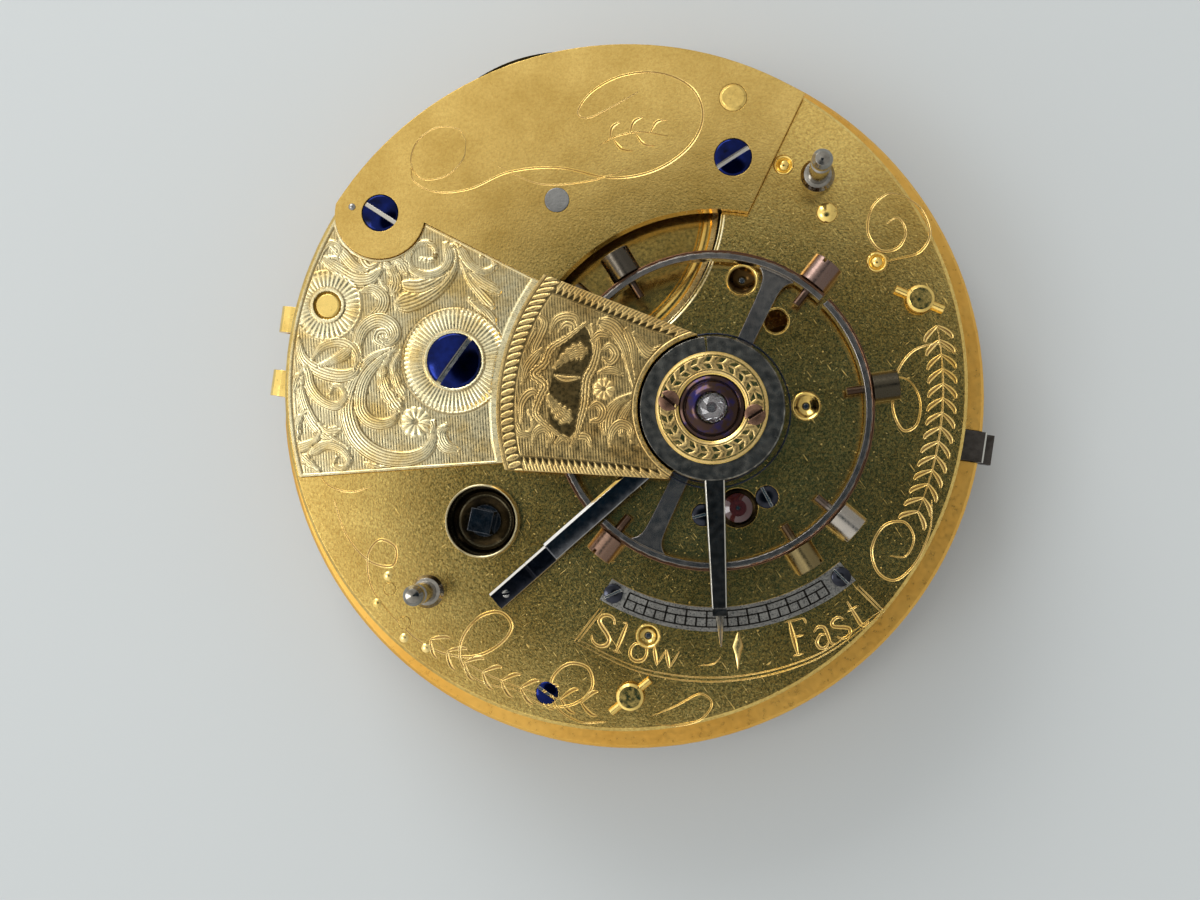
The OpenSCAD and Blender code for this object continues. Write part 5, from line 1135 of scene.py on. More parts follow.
# Screws: node, finish, centre, head radius, foot of the head, top, dome, slot width, slot floor, slot
# turn, shank radius and lower end; where the centre is None, the operator has the places
SCREWS = [
    ("cock_screw", "blued", (-9.81, 1.57), 1.65, 11.15, 11.80, 0.13, 0.30, 11.50, 54, 0.8, 9.85),
    ("bridge_screws", "blued", (-14.29, 10.44), 1.1, 11.3, 11.90, 0.10, 0.26, 11.66, -33, 0.55, 9.9),
    ("bridge_screws", "blued", (6.72, 13.39), 1.1, 11.3, 11.90, 0.10, 0.26, 11.66, 32, 0.55, 9.9),
    ("plate_screws", "dark_screw", (4.90, -7.58), 0.66, 10.7, 11.08, 0.06, 0.17, 10.93, 15, 0.3, 9.9),
    ("plate_screws", "dark_screw", (8.64, -6.52), 0.66, 10.7, 11.08, 0.06, 0.17, 10.93, -62, 0.3, 9.9),
    ("plate_screws", "blued", (-4.31, -18.08), 0.66, 10.7, 11.08, 0.06, 0.17, 10.93, -35, 0.3, 9.9),
    ("plate_screws", "blued", (3.9, 2.3), 0.95, 10.5, 10.98, 0.06, 0.3, 10.76, 20, 0.45, 8.4),
    ("plate_screws", "steel", (-6.64, -12.22), 0.4, 11.45, 11.76, 0.05, 0.12, 11.62, 10, 0.3, 9.9),
    ("scale_screws", "dark_screw", None, 0.57, 11.3, 11.62, 0.09, 0.15, 11.44, 25, 0.28, 10.0),
    ("jewel_ring_screws", "brown", None, 0.60, 14.86, 15.03, 0.06, 0.16, 14.92, -38, 0.2, 14.0),
]
# Names of the screws that have another finish than the rest of their node
SCREW_NAMES = {("plate_screws", "steel"): "arm_screw", ("plate_screws", "dark_screw"): "escape_jewel_screws"}


class MOVEMENT_OT_screws(bpy.types.Operator):
    """Makes the domed and slotted screws, the steady pin on the bridge and the lip of the barrel"""

    bl_idname = "movement.screws"
    bl_label = "Screws, steady pin and barrel lip"

    def execute(self, context):
        scale_r = 12.15
        ring = [BALANCE + RING_SCREW_R * unit(side) for side in RING_SCREW_TURNS]
        places = {
            "scale_screws": [(BALANCE + scale_r * unit(-118.6), 25), (BALANCE + scale_r * unit(-52.4), -45)],
            "jewel_ring_screws": [(ring[0], -38), (ring[1], 32)],
        }
        nodes = {}
        for node, finish, centre, radius, low, top, dome, slot, deep, turn, shank, foot in SCREWS:
            where = [(centre, turn)] if centre else places[node]
            for at, angle in where:
                screw = slotted_screw(at, radius, low, top, dome, slot, deep, angle, shank, foot)
                nodes.setdefault((node, finish), []).append(screw)
        for (node, finish), shapes in nodes.items():
            slot = "blued_steel" if finish == "blued" else "dark_steel"
            name = SCREW_NAMES.get((node, finish), node)
            replaced = [node] if name == node else []
            piece(name + "_domed", joined(shapes), finish, replaced=replaced, smooth=32)
        pin = [(0.0, 11.75), (0.21, 11.75), (0.21, 11.86), (0.15, 11.93), (0.07, 11.955), (0.0, 11.96)]
        piece("bridge_steady_pin", lathe(pin, (-15.99, 10.83), 24), "steel")
        # The lip's top and inner face are darkened: painted shadow of the narrow gap under the plate's
        # opening
        lip = [(9.20, 9.06), (9.66, 9.06), (9.70, 9.10), (9.70, 9.14), (9.52, 9.14), (9.50, 9.26),
               (9.20, 9.26), (9.20, 9.06)]
        steps = 128
        body = body_of(frame["nodes"]["barrel"])[0]
        shade = np.repeat([1.0, 1.0, 1.0, 1.0, 1.0, 0.0, 0.0, 1.0], steps)
        piece("barrel_lip", lathe(lip, BARREL, steps), "engraved", body, cut=shade)
        return {"FINISHED"}


# Bushes with oil sinks: centre, radius, and how dark the sink is painted, for old oil and for painted shade
BUSHES = [((7.23, 6.26), 0.93, 1.0), ((10.94, -1.20), 0.82, 0.35), ((1.66, -14.68), 0.70, 0.3)]
# Pins riveted in the plate: centre, and whether a ring is cut round the end
RIVETED_PINS = [((9.70, 13.05), True), ((12.22, 10.16), False), ((15.10, 7.22), True)]
THROUGH_HOLE = (9.21, 3.82)
# The plate's underside, the radius of its opening over the barrel, and the top of the barrel's cover
PLATE_LOW = 9.8
OPENING_R = 9.75
COVER_TOP = 9.3


class MOVEMENT_OT_turned_brass(bpy.types.Operator):
    """Turns the bushes and pins of the plate, the winding cup and the barrel cover"""

    bl_idname = "movement.turned_brass"
    bl_label = "Bushes, pins, winding cup and barrel cover"

    def execute(self, context):
        shapes = []
        for centre, r, darkening in BUSHES:
            edge = r - 0.09
            out = np.linspace(edge, 0.26, 7)
            sink = np.stack([out, Z_PLATE + 0.02 - 0.36 * (1 - (out / edge) ** 2)], -1)
            outside = [(0.19, PLATE_LOW), (r, PLATE_LOW), (r, Z_PLATE + 0.02), (r - 0.03, Z_PLATE + 0.04)]
            inside = [(0.19, sink[-1, 1]), (0.19, PLATE_LOW)]
            points, faces, _ = lathe(np.concatenate([outside, sink, inside]), centre, 48)
            # The sink darkens by that share, old oil with painted shade; the bore below it is painted shade
            shapes.append((points, faces, np.repeat([0.0] * 4 + [0.5 * darkening] + [darkening] * 6 + [0.9] * 2, 48)))
        hole = [(0.68, 10.90), (0.82, 10.98), (0.82, Z_PLATE + 0.01), (0.78, Z_PLATE + 0.02), (0.68, 10.95),
                (0.68, 10.90)]
        shapes.append(lathe(hole, THROUGH_HOLE, 40))
        for centre, ringed in RIVETED_PINS:
            end = [(0.58, 0.05), (0.50, 0.12), (0.30, 0.19), (0.0, 0.22)]
            if ringed:
                end = [(0.58, 0.04), (0.52, 0.08), (0.44, 0.03), (0.38, -0.06), (0.33, 0.04), (0.20, 0.13),
                       (0.0, 0.15)]
            profile = [(0.0, PLATE_LOW - Z_PLATE), (0.58, PLATE_LOW - Z_PLATE)] + end
            shapes.append(lathe(np.array(profile) + [0.0, Z_PLATE], centre, 40))
        piece("plate_bushes_turned", joined(shapes), "polished_gilt",
              replaced=["plate_bushes"], smooth=30)
        # The cup's profile, with a painted highlight in the third place, on its rolled rim and on a ring in
        # its floor
        cup = np.array([(0.98, 9.8, 0), (1.95, 9.8, 0), (1.95, 11.0, 0), (2.2, 11.0, 0), (2.2, 11.76, 0),
                        (2.17, 11.86, 1), (2.11, 11.9, 1), (2.05, 11.86, 1), (2.01, 11.7, 0),
                        (1.86, 10.52, 0), (1.72, 10.42, 0), (1.55, 10.47, 0.4), (1.44, 10.42, 0),
                        (0.98, 10.42, 0), (0.98, 9.8, 0)])
        piece("winding_cup_turned", lathe(cup[:, :2], FUSEE, 72), "dark_brass",
              replaced=["winding_cup"], smooth=30, cut=np.repeat(cup[:, 2], 72))
        # A chamfer along the plate's opening over the barrel, in the paler gilding of the foot, which paints
        # a highlight along the edge
        a = np.radians(np.linspace(-64.0, -5.0, 61))
        path = around(BARREL, OPENING_R, a, 0.0)
        edge = [(-0.05, 10.84), (0.20, 10.96), (0.21, Z_PLATE + 0.02), (0.17, Z_PLATE + 0.03), (-0.05, 10.93)]
        piece("barrel_opening_edge", sweep(path, edge), "bright_cut", smooth=20)
        cover = np.array([(0.98, -0.35), (9.25, -0.35), (9.25, -0.13), (9.20, -0.05), (9.08, 0.0),
                          (8.86, 0.0), (8.70, -0.03), (8.62, -0.12), (8.50, -0.12), (8.44, -0.04),
                          (2.2, -0.04), (2.2, 0.2), (0.98, 0.2), (0.98, -0.35)]) + [0.0, COVER_TOP]
        body = body_of(frame["nodes"]["barrel_cover"])[0]
        piece("barrel_cover_turned", lathe(cover, BARREL, 160), "turned_brass", body,
              ["barrel_cover"], 30)
        rim = np.array([(0.86, 0.0), (1.86, 0.0), (1.86, 0.26), (1.80, 0.36), (1.66, 0.41), (1.60, 0.37),
                        (1.52, 0.37), (1.46, 0.45), (1.25, 0.60), (1.05, 0.69), (0.94, 0.70), (0.86, 0.62),
                        (0.86, 0.0)])
        piece("end_stone_setting_turned", lathe(rim + [0.0, Z_BOSS], BALANCE, 72), "violet",
              replaced=["end_stone_setting"], smooth=28)
        return {"FINISHED"}


# Stud arm: distance from the balance axis and height of the underside, for its upper and its lower bar
UPPER_BAR = [(4.6, 13.13), (12.36, 13.13), (12.42, 13.09)]
LOWER_BAR = [(11.9, 11.45), (14.14, 11.45), (14.18, 11.40), (14.26, 11.40), (14.30, 11.43), (16.95, 11.43)]
# Directions of the stud arm, the pointer and the slit in the regulator's ring, in degrees
STUD_TURN = 221.2
POINTER_TURN = -88.0
REGULATOR_SLIT = 95.0
# The bolt: its direction, half its width, and how far out the middle of its head lies
BOLT_TURN = -8.7
BOLT_HALF = 0.955
BOLT_HEAD_R = 21.945


def radial(lines, degrees):
    """Points along a direction from the balance axis, from pairs of distance and height."""
    r, z = np.array(lines, float).T
    x, y = unit(degrees)
    return np.stack([BALANCE[0] + r * x, BALANCE[1] + r * y, z], -1)


def box(half_from, half_to, low, high):
    """A four-cornered profile for a sweep."""
    return [(half_from, low), (half_to, low), (half_to, high), (half_from, high)]


class MOVEMENT_OT_steel_arms(bpy.types.Operator):
    """Makes the stepped stud arm, the regulator and the head of the bolt with bevels along their edges, and
    painted highlights on the bevels of the stud arm, the pointer and the bolt's head
    """

    bl_idname = "movement.steel_arms"
    bl_label = "Stud arm, regulator and bolt head"

    def execute(self, context):
        # Profiles of the two bars, and which of their corners carry a painted highlight
        half = 0.59
        upper = [(-half, 0.0), (half, 0.0), (half, 0.21), (half - 0.17, 0.31), (half - 0.18, 0.312),
                 (0.06 - half, 0.27), (0.05 - half, 0.268), (-half, 0.22)]
        lower = [(-half, 0.0), (half, 0.0), (half, 0.21), (half - 0.15, 0.31), (half - 0.16, 0.31),
                 (0.06 - half, 0.318), (0.05 - half, 0.316), (-half, 0.24)]
        painted_highlight = [0.0, 0.0, 1.0, 1.0, 0.0, 0.0, 0.4, 0.4]
        piece("stud_arm_foot_bevelled", sweep(radial(LOWER_BAR, STUD_TURN), lower, 1.0, painted_highlight), "dark_screw",
              smooth=12)
        shapes = [sweep(radial(UPPER_BAR, STUD_TURN), upper, 1.0, painted_highlight),
                  sweep(radial([(11.9, 0.0), (12.35, 0.0)], STUD_TURN), box(-0.5, 0.5, Z_PLATE, 13.2)),
                  sweep(radial([(12.0, 0.0), (16.9, 0.0)], STUD_TURN), box(-0.55, 0.55, Z_PLATE, 11.5)),
                  sweep(radial([(4.2, 0.0), (4.95, 0.0)], STUD_TURN), box(0.01, 0.35, 12.7, 13.2))]
        piece("stud_arm_bevelled", joined(shapes), "black_polish", replaced=["stud_arm"],
              smooth=12)
        # The pointer: a tapered bar with a flat roof, a leg down to the index, and a ridged tip on it; its
        # bevels and the tip's lower edges carry a painted highlight
        low, high, tip_z = 14.12, 14.46, 11.42
        roof = [(-1.0, 0.0), (1.0, 0.0), (1.0, 0.22), (0.87, 0.28), (0.86, 0.28), (-0.86, 0.28),
                (-0.87, 0.28), (-1.0, 0.22)]
        painted_highlight = [0.0, 0.0, 1.0, 1.0, 0.0, 0.0, 1.0, 1.0]
        bar = radial([(3.9, low), (7.5, low), (11.3, low)], POINTER_TURN)
        leg = radial([(11.28, 0.0), (11.72, 0.0)], POINTER_TURN)
        tip = radial([(11.6, tip_z), (13.72, tip_z)], POINTER_TURN)
        ridge = [(-1.0, 0.0), (1.0, 0.0), (1.0, 0.08), (0.0, 0.28), (-1.0, 0.08)]
        shapes = [sweep(bar, roof, np.array([0.57, 0.49, 0.41]), painted_highlight),
                  sweep(leg, box(-0.41, 0.41, tip_z, low + 0.27)),
                  sweep(tip, ridge, np.array([0.28, 0.05]), [0, 0, 1, 0, 1])]
        body = body_of(frame["nodes"]["regulator"])[0]
        piece("regulator_pointer_bevelled", joined(shapes), "pointer_steel", body, smooth=12)
        # The regulator's slit ring, and its two curb pins at the hairspring
        a = np.radians(np.linspace(REGULATOR_SLIT + 0.8, REGULATOR_SLIT + 359.2, 181))
        mid = 3.5
        ring = [(2.9 - mid, low), (4.08 - mid, low), (4.13 - mid, low + 0.06), (4.13 - mid, high - 0.1),
                (4.05 - mid, high), (2.9 - mid, high)]
        shapes = [sweep(around(BALANCE, mid, a, 0.0), ring)]
        pin = [(0.0, 12.82), (0.09, 12.82), (0.09, 14.17), (0.0, 14.17)]
        for r in (4.3, 4.7):
            shapes.append(lathe(pin, BALANCE + r * unit(POINTER_TURN), 12))
        piece("regulator_bevelled", joined(shapes), "greyed", body, ["regulator"], 12)
        across = np.array([-BOLT_HALF, BOLT_HALF])
        path = turned((0.0, 0.0), BOLT_TURN, BOLT_HEAD_R, across, 0 * across)
        deep, low, high = 0.755, 2.62, 4.26
        head = [(-deep, low), (deep, low), (deep, 4.11), (deep, 4.12), (0.64, high), (0.63, high),
                (-deep, high)]
        body = body_of(frame["nodes"]["bolt"])[0]
        # The top bevel of the bolt's head carries a painted highlight
        piece("bolt_head_bevelled", sweep(path, head, 1.0, [0, 0, 0, 1, 1, 0, 0]), "bolt_steel", body,
              smooth=12)
        return {"FINISHED"}


# Balance: levels of the rim, and for each screw its direction, its share of the largest head and its
# slot's turn
RIM_LOW = 11.65
RIM_HIGH = 12.75
RIM_CUTS = (44.5, 224.5)
ARM_TURN = 64.5
BALANCE_SCREWS = [(7.8, 0.94, 20), (51.6, 1.0, 75), (121.8, 1.0, 140), (140.0, 0.94, 60), (187.8, 0.94, 10),
                  (231.6, 0.9, 110), (301.8, 0.92, 35), (320.0, 0.95, 160)]


def laid_radially(shape, start, z, degrees):
    """A shape turned on its side about the balance axis: its own height runs outwards from a start radius."""
    points, faces, shade = shape
    x, y = unit(degrees)
    out = np.array([x, y, 0.0])
    across = np.array([-y, x, 0.0])
    up = np.array([0.0, 0.0, 1.0])
    at = np.array([BALANCE[0], BALANCE[1], z])
    return at + points[:, :1] * across + points[:, 1:2] * up + (start + points[:, 2:]) * out, faces, shade


class MOVEMENT_OT_balance(bpy.types.Operator):
    """Makes the cut bimetallic balance with its two arms, and its turned screws"""

    bl_idname = "movement.balance"
    bl_label = "Balance wheel and screws"

    def execute(self, context):
        # The rim: a steel band inside a brass one, each cut through twice
        gap = math.degrees(0.17 / 9.0)
        chamfer = 0.04
        shapes = []
        for inner, outer, brass in ((8.78, 9.13, 0.0), (9.13, 9.29, 1.0)):
            half = 0.5 * (outer - inner)
            profile = [(-half, RIM_LOW + chamfer), (chamfer - half, RIM_LOW), (half - chamfer, RIM_LOW),
                       (half, RIM_LOW + chamfer), (half, RIM_HIGH - chamfer), (half - chamfer, RIM_HIGH),
                       (chamfer - half, RIM_HIGH), (-half, RIM_HIGH - chamfer)]
            for first in RIM_CUTS:
                a = np.radians(np.linspace(first + gap, first + 180 - gap, 121))
                path = around(BALANCE, 0.5 * (inner + outer), a, 0.0)
                shapes.append(sweep(path, profile, 1.0, [brass] * 8))
        # Arms: half width along them, with a round hub and flares into the rim
        x = np.linspace(8.84, -8.84, 141)[:, None]
        hub = 1.5
        wide = 0.46 + 0.10 * (np.abs(x) / 8.7) ** 2 + 0.75 * np.exp((np.abs(x) - 8.8) / 0.32)
        wide = np.maximum(wide, np.sqrt(np.clip(hub ** 2 - x ** 2, 0, None)))
        share = np.array([-1.0, -0.94, -0.6, 0.0, 0.6, 0.94, 1.0])[None, :]
        y = share * wide
        top = RIM_LOW + 0.6 - chamfer * (np.abs(share) > 0.97) + 0 * y
        shapes.append(slab(turned(BALANCE, ARM_TURN, x, y, top), RIM_LOW + 0.25))
        body = body_of(frame["nodes"]["balance_wheel"])[0]
        piece("balance_rim_and_arms", joined(shapes), "bimetal", body, ["balance_wheel"], 35)
        shapes = []
        rim_r, rim_z = 9.3, 0.5 * (RIM_LOW + RIM_HIGH)
        for direction, size, turn in BALANCE_SCREWS:
            head = 1.62 * size
            screw = slotted_screw((0.0, 0.0), 0.92 * size, 0.0, head, 0.05, 0.2, head - 0.3, turn, 0.25, -1.5)
            shapes.append(laid_radially(screw, rim_r, rim_z, direction))
        piece("balance_screws_turned", joined(shapes), "balance_screws", body,
              ["balance_screws"], 35)
        return {"FINISHED"}


# Strokes cut in the plates: pixels that a line runs through, and its largest half width in millimetres
BRIDGE_STROKES = [
    ([(466, 141), (458, 129), (436, 128), (417, 142), (411, 163), (422, 179), (446, 176), (463, 159),
      (466, 141)], 0.07),
    ([(411, 163), (414, 181), (436, 192), (470, 189), (510, 172), (560, 168), (612, 178), (656, 170),
      (690, 146), (703, 116), (692, 88), (660, 73), (622, 76), (592, 92), (578, 112), (588, 118),
      (610, 108), (638, 92)], 0.11),
    ([(498, 166), (540, 184), (590, 181), (630, 168)], 0.07),
    ([(598, 146), (618, 136), (642, 132), (668, 136)], 0.08),
    ([(610, 140), (612, 128), (620, 122)], 0.13),
    ([(630, 134), (634, 122), (643, 117)], 0.13),
    ([(650, 133), (657, 122), (667, 120)], 0.12),
    ([(614, 140), (622, 149), (633, 151)], 0.13),
    ([(636, 134), (644, 144), (655, 146)], 0.12),
]
PLATE_STROKES = [
    ([(905, 196), (888, 194), (872, 208), (868, 232), (880, 250), (898, 248), (906, 232), (898, 218),
      (886, 224)], 0.10),
    ([(905, 196), (922, 210), (930, 234), (920, 252), (900, 258), (884, 262)], 0.09),
    ([(951, 352), (936, 344), (912, 352), (896, 376), (893, 408), (903, 430), (917, 424), (920, 400),
      (908, 380), (886, 376)], 0.10),
    ([(932, 500), (930, 530), (916, 562), (896, 580), (878, 572), (872, 548), (884, 526), (904, 522),
      (914, 538), (906, 556), (890, 556)], 0.10),
    ([(334, 500), (346, 534), (368, 560), (392, 566), (396, 548), (380, 540), (368, 556), (372, 588),
      (392, 616)], 0.12),
    ([(392, 616), (418, 640), (446, 654), (476, 656), (500, 644), (512, 626), (500, 612), (478, 618),
      (462, 640), (462, 664), (482, 682), (516, 690)], 0.13),
    ([(516, 690), (546, 706), (574, 704), (592, 688), (588, 668), (568, 664), (552, 680), (556, 706),
      (580, 722), (606, 722)], 0.12),
    ([(652, 716), (676, 706), (700, 694), (712, 704), (700, 720), (676, 726), (656, 724)], 0.08),
    ([(316, 470), (330, 486), (352, 492), (372, 486)], 0.08),
]
# Leaves in a row: first and last direction, count, stem radius, reach to each side, lean and half width
LEAF_ROWS = [(10.5, -23.0, 14, 18.85, (-0.85, 0.75), 2.6, 0.17),
             (-127.0, -97.0, 9, 18.75, (-0.75, 0.7), 3.0, 0.16)]
# Dots beside the flourishes, in pixels
DOTS = [(388, 576), (377, 603), (404, 638), (426, 648)]
# Letters as lines through points, on a unit cap height, with their half widths
BIG_S = [(0.56, 0.80), (0.46, 0.96), (0.28, 1.0), (0.10, 0.90), (0.08, 0.72), (0.24, 0.58), (0.44, 0.46),
         (0.60, 0.30), (0.56, 0.10), (0.36, 0.0), (0.14, 0.06), (0.04, 0.22)]
LETTERS = {
    "S": [(BIG_S, 0.07)],
    "l": [([(0.14, 0.02), (0.14, 0.5), (0.14, 0.98)], 0.07), ([(0.0, 0.0), (0.3, 0.0)], 0.03),
          ([(0.0, 0.94), (0.14, 1.0)], 0.03)],
    "o": [([(0.30, 0.60), (0.10, 0.50), (0.03, 0.30), (0.10, 0.08), (0.30, 0.0), (0.50, 0.10), (0.56, 0.30),
            (0.50, 0.50), (0.30, 0.60)], 0.06)],
    "w": [([(0.0, 0.6), (0.22, 0.0)], 0.06), ([(0.22, 0.0), (0.40, 0.55)], 0.03),
          ([(0.40, 0.55), (0.62, 0.0)], 0.06), ([(0.62, 0.0), (0.82, 0.6)], 0.03)],
    "F": [([(0.15, 0.0), (0.15, 0.5), (0.15, 1.0)], 0.07), ([(0.0, 1.0), (0.58, 1.0)], 0.035),
          ([(0.58, 1.0), (0.60, 0.82)], 0.035), ([(0.15, 0.52), (0.46, 0.52)], 0.03),
          ([(0.0, 0.0), (0.32, 0.0)], 0.03)],
    "a": [([(0.40, 0.34), (0.22, 0.38), (0.05, 0.22), (0.08, 0.04), (0.24, 0.0), (0.40, 0.14)], 0.05),
          ([(0.06, 0.52), (0.22, 0.62), (0.38, 0.56), (0.42, 0.36), (0.42, 0.08), (0.54, 0.0)], 0.05)],
    "s": [([(x * 0.75, y * 0.62) for x, y in BIG_S], 0.055)],
    "t": [([(0.16, 0.86), (0.16, 0.4), (0.17, 0.10), (0.28, 0.0), (0.40, 0.08)], 0.06),
          ([(0.0, 0.6), (0.36, 0.6)], 0.03)],
}
# Letter, pixel of its lower left corner, turn in degrees, height in pixels
WORDS = [("S", 588, 641, -24, 32), ("l", 612, 650, -22, 31), ("o", 627, 658, -18, 31),
         ("w", 650, 664, -12, 32), ("F", 793, 656, 14, 34), ("a", 818, 650, 20, 34),
         ("s", 838, 641, 25, 34), ("t", 858, 630, 31, 34)]
# Profile of a stroke, on a half width of one and for a burr of STROKE_BURR, and its painted shade, deepest at
# the bottom of the groove
STROKE_BURR = 0.026
STROKE = [(-1.0, -0.02), (-0.72, 0.026), (-0.30, 0.006), (0.0, 0.002), (0.30, 0.006), (0.72, 0.026),
          (1.0, -0.02)]
STROKE_PAINTED_SHADE = [0.0, 0.0, 0.55, 0.85, 0.55, 0.0, 0.0]


def cut_stroke(points, z, half, rise, steps=12):
    """An engraved stroke on a plate at height z: a valley between two burrs, swelling in its middle, its
    valley darkened with painted shade.
    """
    line = curve_through(points, steps)
    t = np.linspace(0, 1, len(line))
    width = half * (0.35 + 0.65 * np.sin(np.pi * np.clip(t, 0, 1)) ** 0.8)
    path = np.concatenate([line, np.full((len(line), 1), z)], 1)
    profile = np.array(STROKE) * np.array([1.0, rise / STROKE_BURR])
    return sweep(path, profile, width, STROKE_PAINTED_SHADE)


def pixel_strokes(strokes, z, rise):
    """Strokes through pixels of the picture, on a plate at height z."""
    shapes = []
    for pixels, half in strokes:
        u, v = np.array(pixels, float).T
        shapes.append(cut_stroke(spot(u, v, z), z, half, rise))
    return shapes


class MOVEMENT_OT_plate_strokes(bpy.types.Operator):
    """Cuts flourishes, the frame of the index and its two words in the plates"""

    bl_idname = "movement.plate_strokes"
    bl_label = "Engraved strokes on the plates"

    def execute(self, context):
        rise = context.scene.movement_sizes.stroke_rise
        shapes = pixel_strokes(BRIDGE_STROKES, Z_BRIDGE, rise)
        piece("bridge_flourish", joined(shapes), "graver")
        shapes = pixel_strokes(PLATE_STROKES, Z_PLATE, rise)
        for first, last, count, stem, reaches, lean, half in LEAF_ROWS:
            for at in np.linspace(first, last, count):
                for reach in reaches:
                    t = np.array([0.0, 0.35, 0.7, 1.0])
                    a = np.radians(at + np.sign(last - first) * lean * t)
                    r = stem + reach * np.sin(0.5 * np.pi * t)
                    shapes.append(cut_stroke(around((0.0, 0.0), r, a), Z_PLATE, half, rise, 6))
            a = np.radians(np.linspace(first, last, 40))
            shapes.append(cut_stroke(around((0.0, 0.0), stem, a), Z_PLATE, 0.07, rise, 1))
        dot = np.array([(0.0, -0.02), (0.30, -0.02), (0.24, 0.04), (0.10, 0.07), (0.0, 0.075)])
        for u, v in DOTS:
            shapes.append(lathe(dot + [0.0, Z_PLATE], spot(u, v, Z_PLATE), 24))
        piece("plate_flourish", joined(shapes), "graver")
        shapes = []
        for letter, u, v, turn, tall in WORDS:
            base = spot(u, v, Z_PLATE)
            size = tall * pixel_mm(Z_PLATE)
            c, s = unit(turn)
            spin = np.array([[c, s], [-s, c]])
            for points, half in LETTERS[letter]:
                line = base + np.array(points) @ spin * size
                shapes.append(cut_stroke(line, Z_PLATE, half * size * 1.25, rise, 8))
        # The frame under the index: a doubled bow between two short sides
        left = np.array([-2.71, -15.07])
        right = np.array([15.42, -13.19])
        low = np.array([6.45, -17.27])
        top_left = spot(600, 608, Z_PLATE)
        top_right = spot(858, 585, Z_PLATE)
        left_low = 0.5 * (left + low) + [-0.35, -0.72]
        right_low = 0.5 * (right + low) + [0.4, -0.78]
        bow = curve_through([left, left_low, low, right_low, right], 20)
        for shift in (0.0, 0.24):
            pull = np.array([0.0, shift])
            shapes.append(cut_stroke(bow + pull, Z_PLATE, 0.055, rise, 1))
            for ends in ([top_left, left], [top_right, right]):
                aside = np.array([shift if ends[1] is left else -shift, 0.0])
                shapes.append(cut_stroke(np.array(ends) + aside, Z_PLATE, 0.06, rise, 12))
        # The drop under the pointer, one slope darkened with painted shade, and a short stroke beside it
        tip = np.array([6.92, -15.34])
        drop = np.array([[tip[0], tip[1] + y, Z_PLATE] for y in (0.95, 0.1, -0.4, -1.25)])
        roof = [(-1.0, -0.02), (1.0, -0.02), (0.9, 0.02), (0.0, 0.06), (-0.9, 0.02)]
        shapes.append(sweep(drop, roof, np.array([0.02, 0.33, 0.17, 0.02]), [0.0, 0.0, 0.0, 0.1, 0.7]))
        aside = tip + np.array([[-1.0, -0.55], [-1.45, -0.95], [-2.3, -1.05]])
        shapes.append(cut_stroke(aside, Z_PLATE, 0.06, rise))
        piece("index_words_and_frame", joined(shapes), "graver")
        return {"FINISHED"}


class MOVEMENT_OT_index_divisions(bpy.types.Operator):
    """Lays the black divisions on the steel index"""

    bl_idname = "movement.index_divisions"
    bl_label = "Divisions of the index"

    def execute(self, context):
        z = Z_PLATE + 0.3
        index_in = 11.45
        rows = (index_in + 0.22, index_in + 0.62, index_in + 1.14)
        first, last = -114.5, -57.5
        bar = [(-1.0, -0.01), (-0.9, 0.012), (0.9, 0.012), (1.0, -0.01)]
        shapes = []
        for radius in rows:
            a = np.radians(np.linspace(first, last, 90))
            shapes.append(sweep(around(BALANCE, radius, a, z), bar, 0.045))
        for k, a in enumerate(np.radians(np.linspace(first, last, 21))):
            inner = rows[0] if k % 2 == 0 else rows[1]
            shapes.append(sweep(around(BALANCE, np.linspace(inner, rows[2], 4), a, z), bar, 0.06))
        piece("index_divisions", joined(shapes), "wax")
        return {"FINISHED"}


class MOVEMENT_OT_springs(bpy.types.Operator):
    """Winds the hairspring and the mainspring"""

    bl_idname = "movement.springs"
    bl_label = "Hairspring and mainspring"

    def execute(self, context):
        sizes = context.scene.movement_sizes
        strip = np.array([(-0.5, -0.5), (0.5, -0.5), (0.5, 0.5), (-0.5, 0.5)])
        steps = 72
        # The outer coil keeps its radius for a third of a turn, then the strip closes in on the collet
        t = np.linspace(0, sizes.hair_turns, int(steps * sizes.hair_turns))
        hold, hair_z = 0.3, 12.95
        radius = 4.5 - 3.45 * np.clip((t - hold) / (sizes.hair_turns - hold), 0, 1)
        path = around(BALANCE, radius, np.radians(STUD_TURN + 2.5) + 2 * np.pi * t, hair_z)
        piece("hairspring_coils", sweep(path, strip * [0.08, 0.3]), "spring",
              replaced=["hairspring"])
        # The mainspring fills the barrel between its arbor and its wall
        t = np.linspace(0, sizes.main_turns, int(steps * sizes.main_turns))
        inner, outer, main_z = 2.25, 8.6, 7.03
        radius = inner + (outer - inner) * t / sizes.main_turns
        path = around(BARREL, radius, 2 * np.pi * t, main_z)
        body = body_of(frame["nodes"]["mainspring"])[0]
        piece("mainspring_coils", sweep(path, strip * [0.2, 3.64]), "spring", body,
              ["mainspring"])
        return {"FINISHED"}


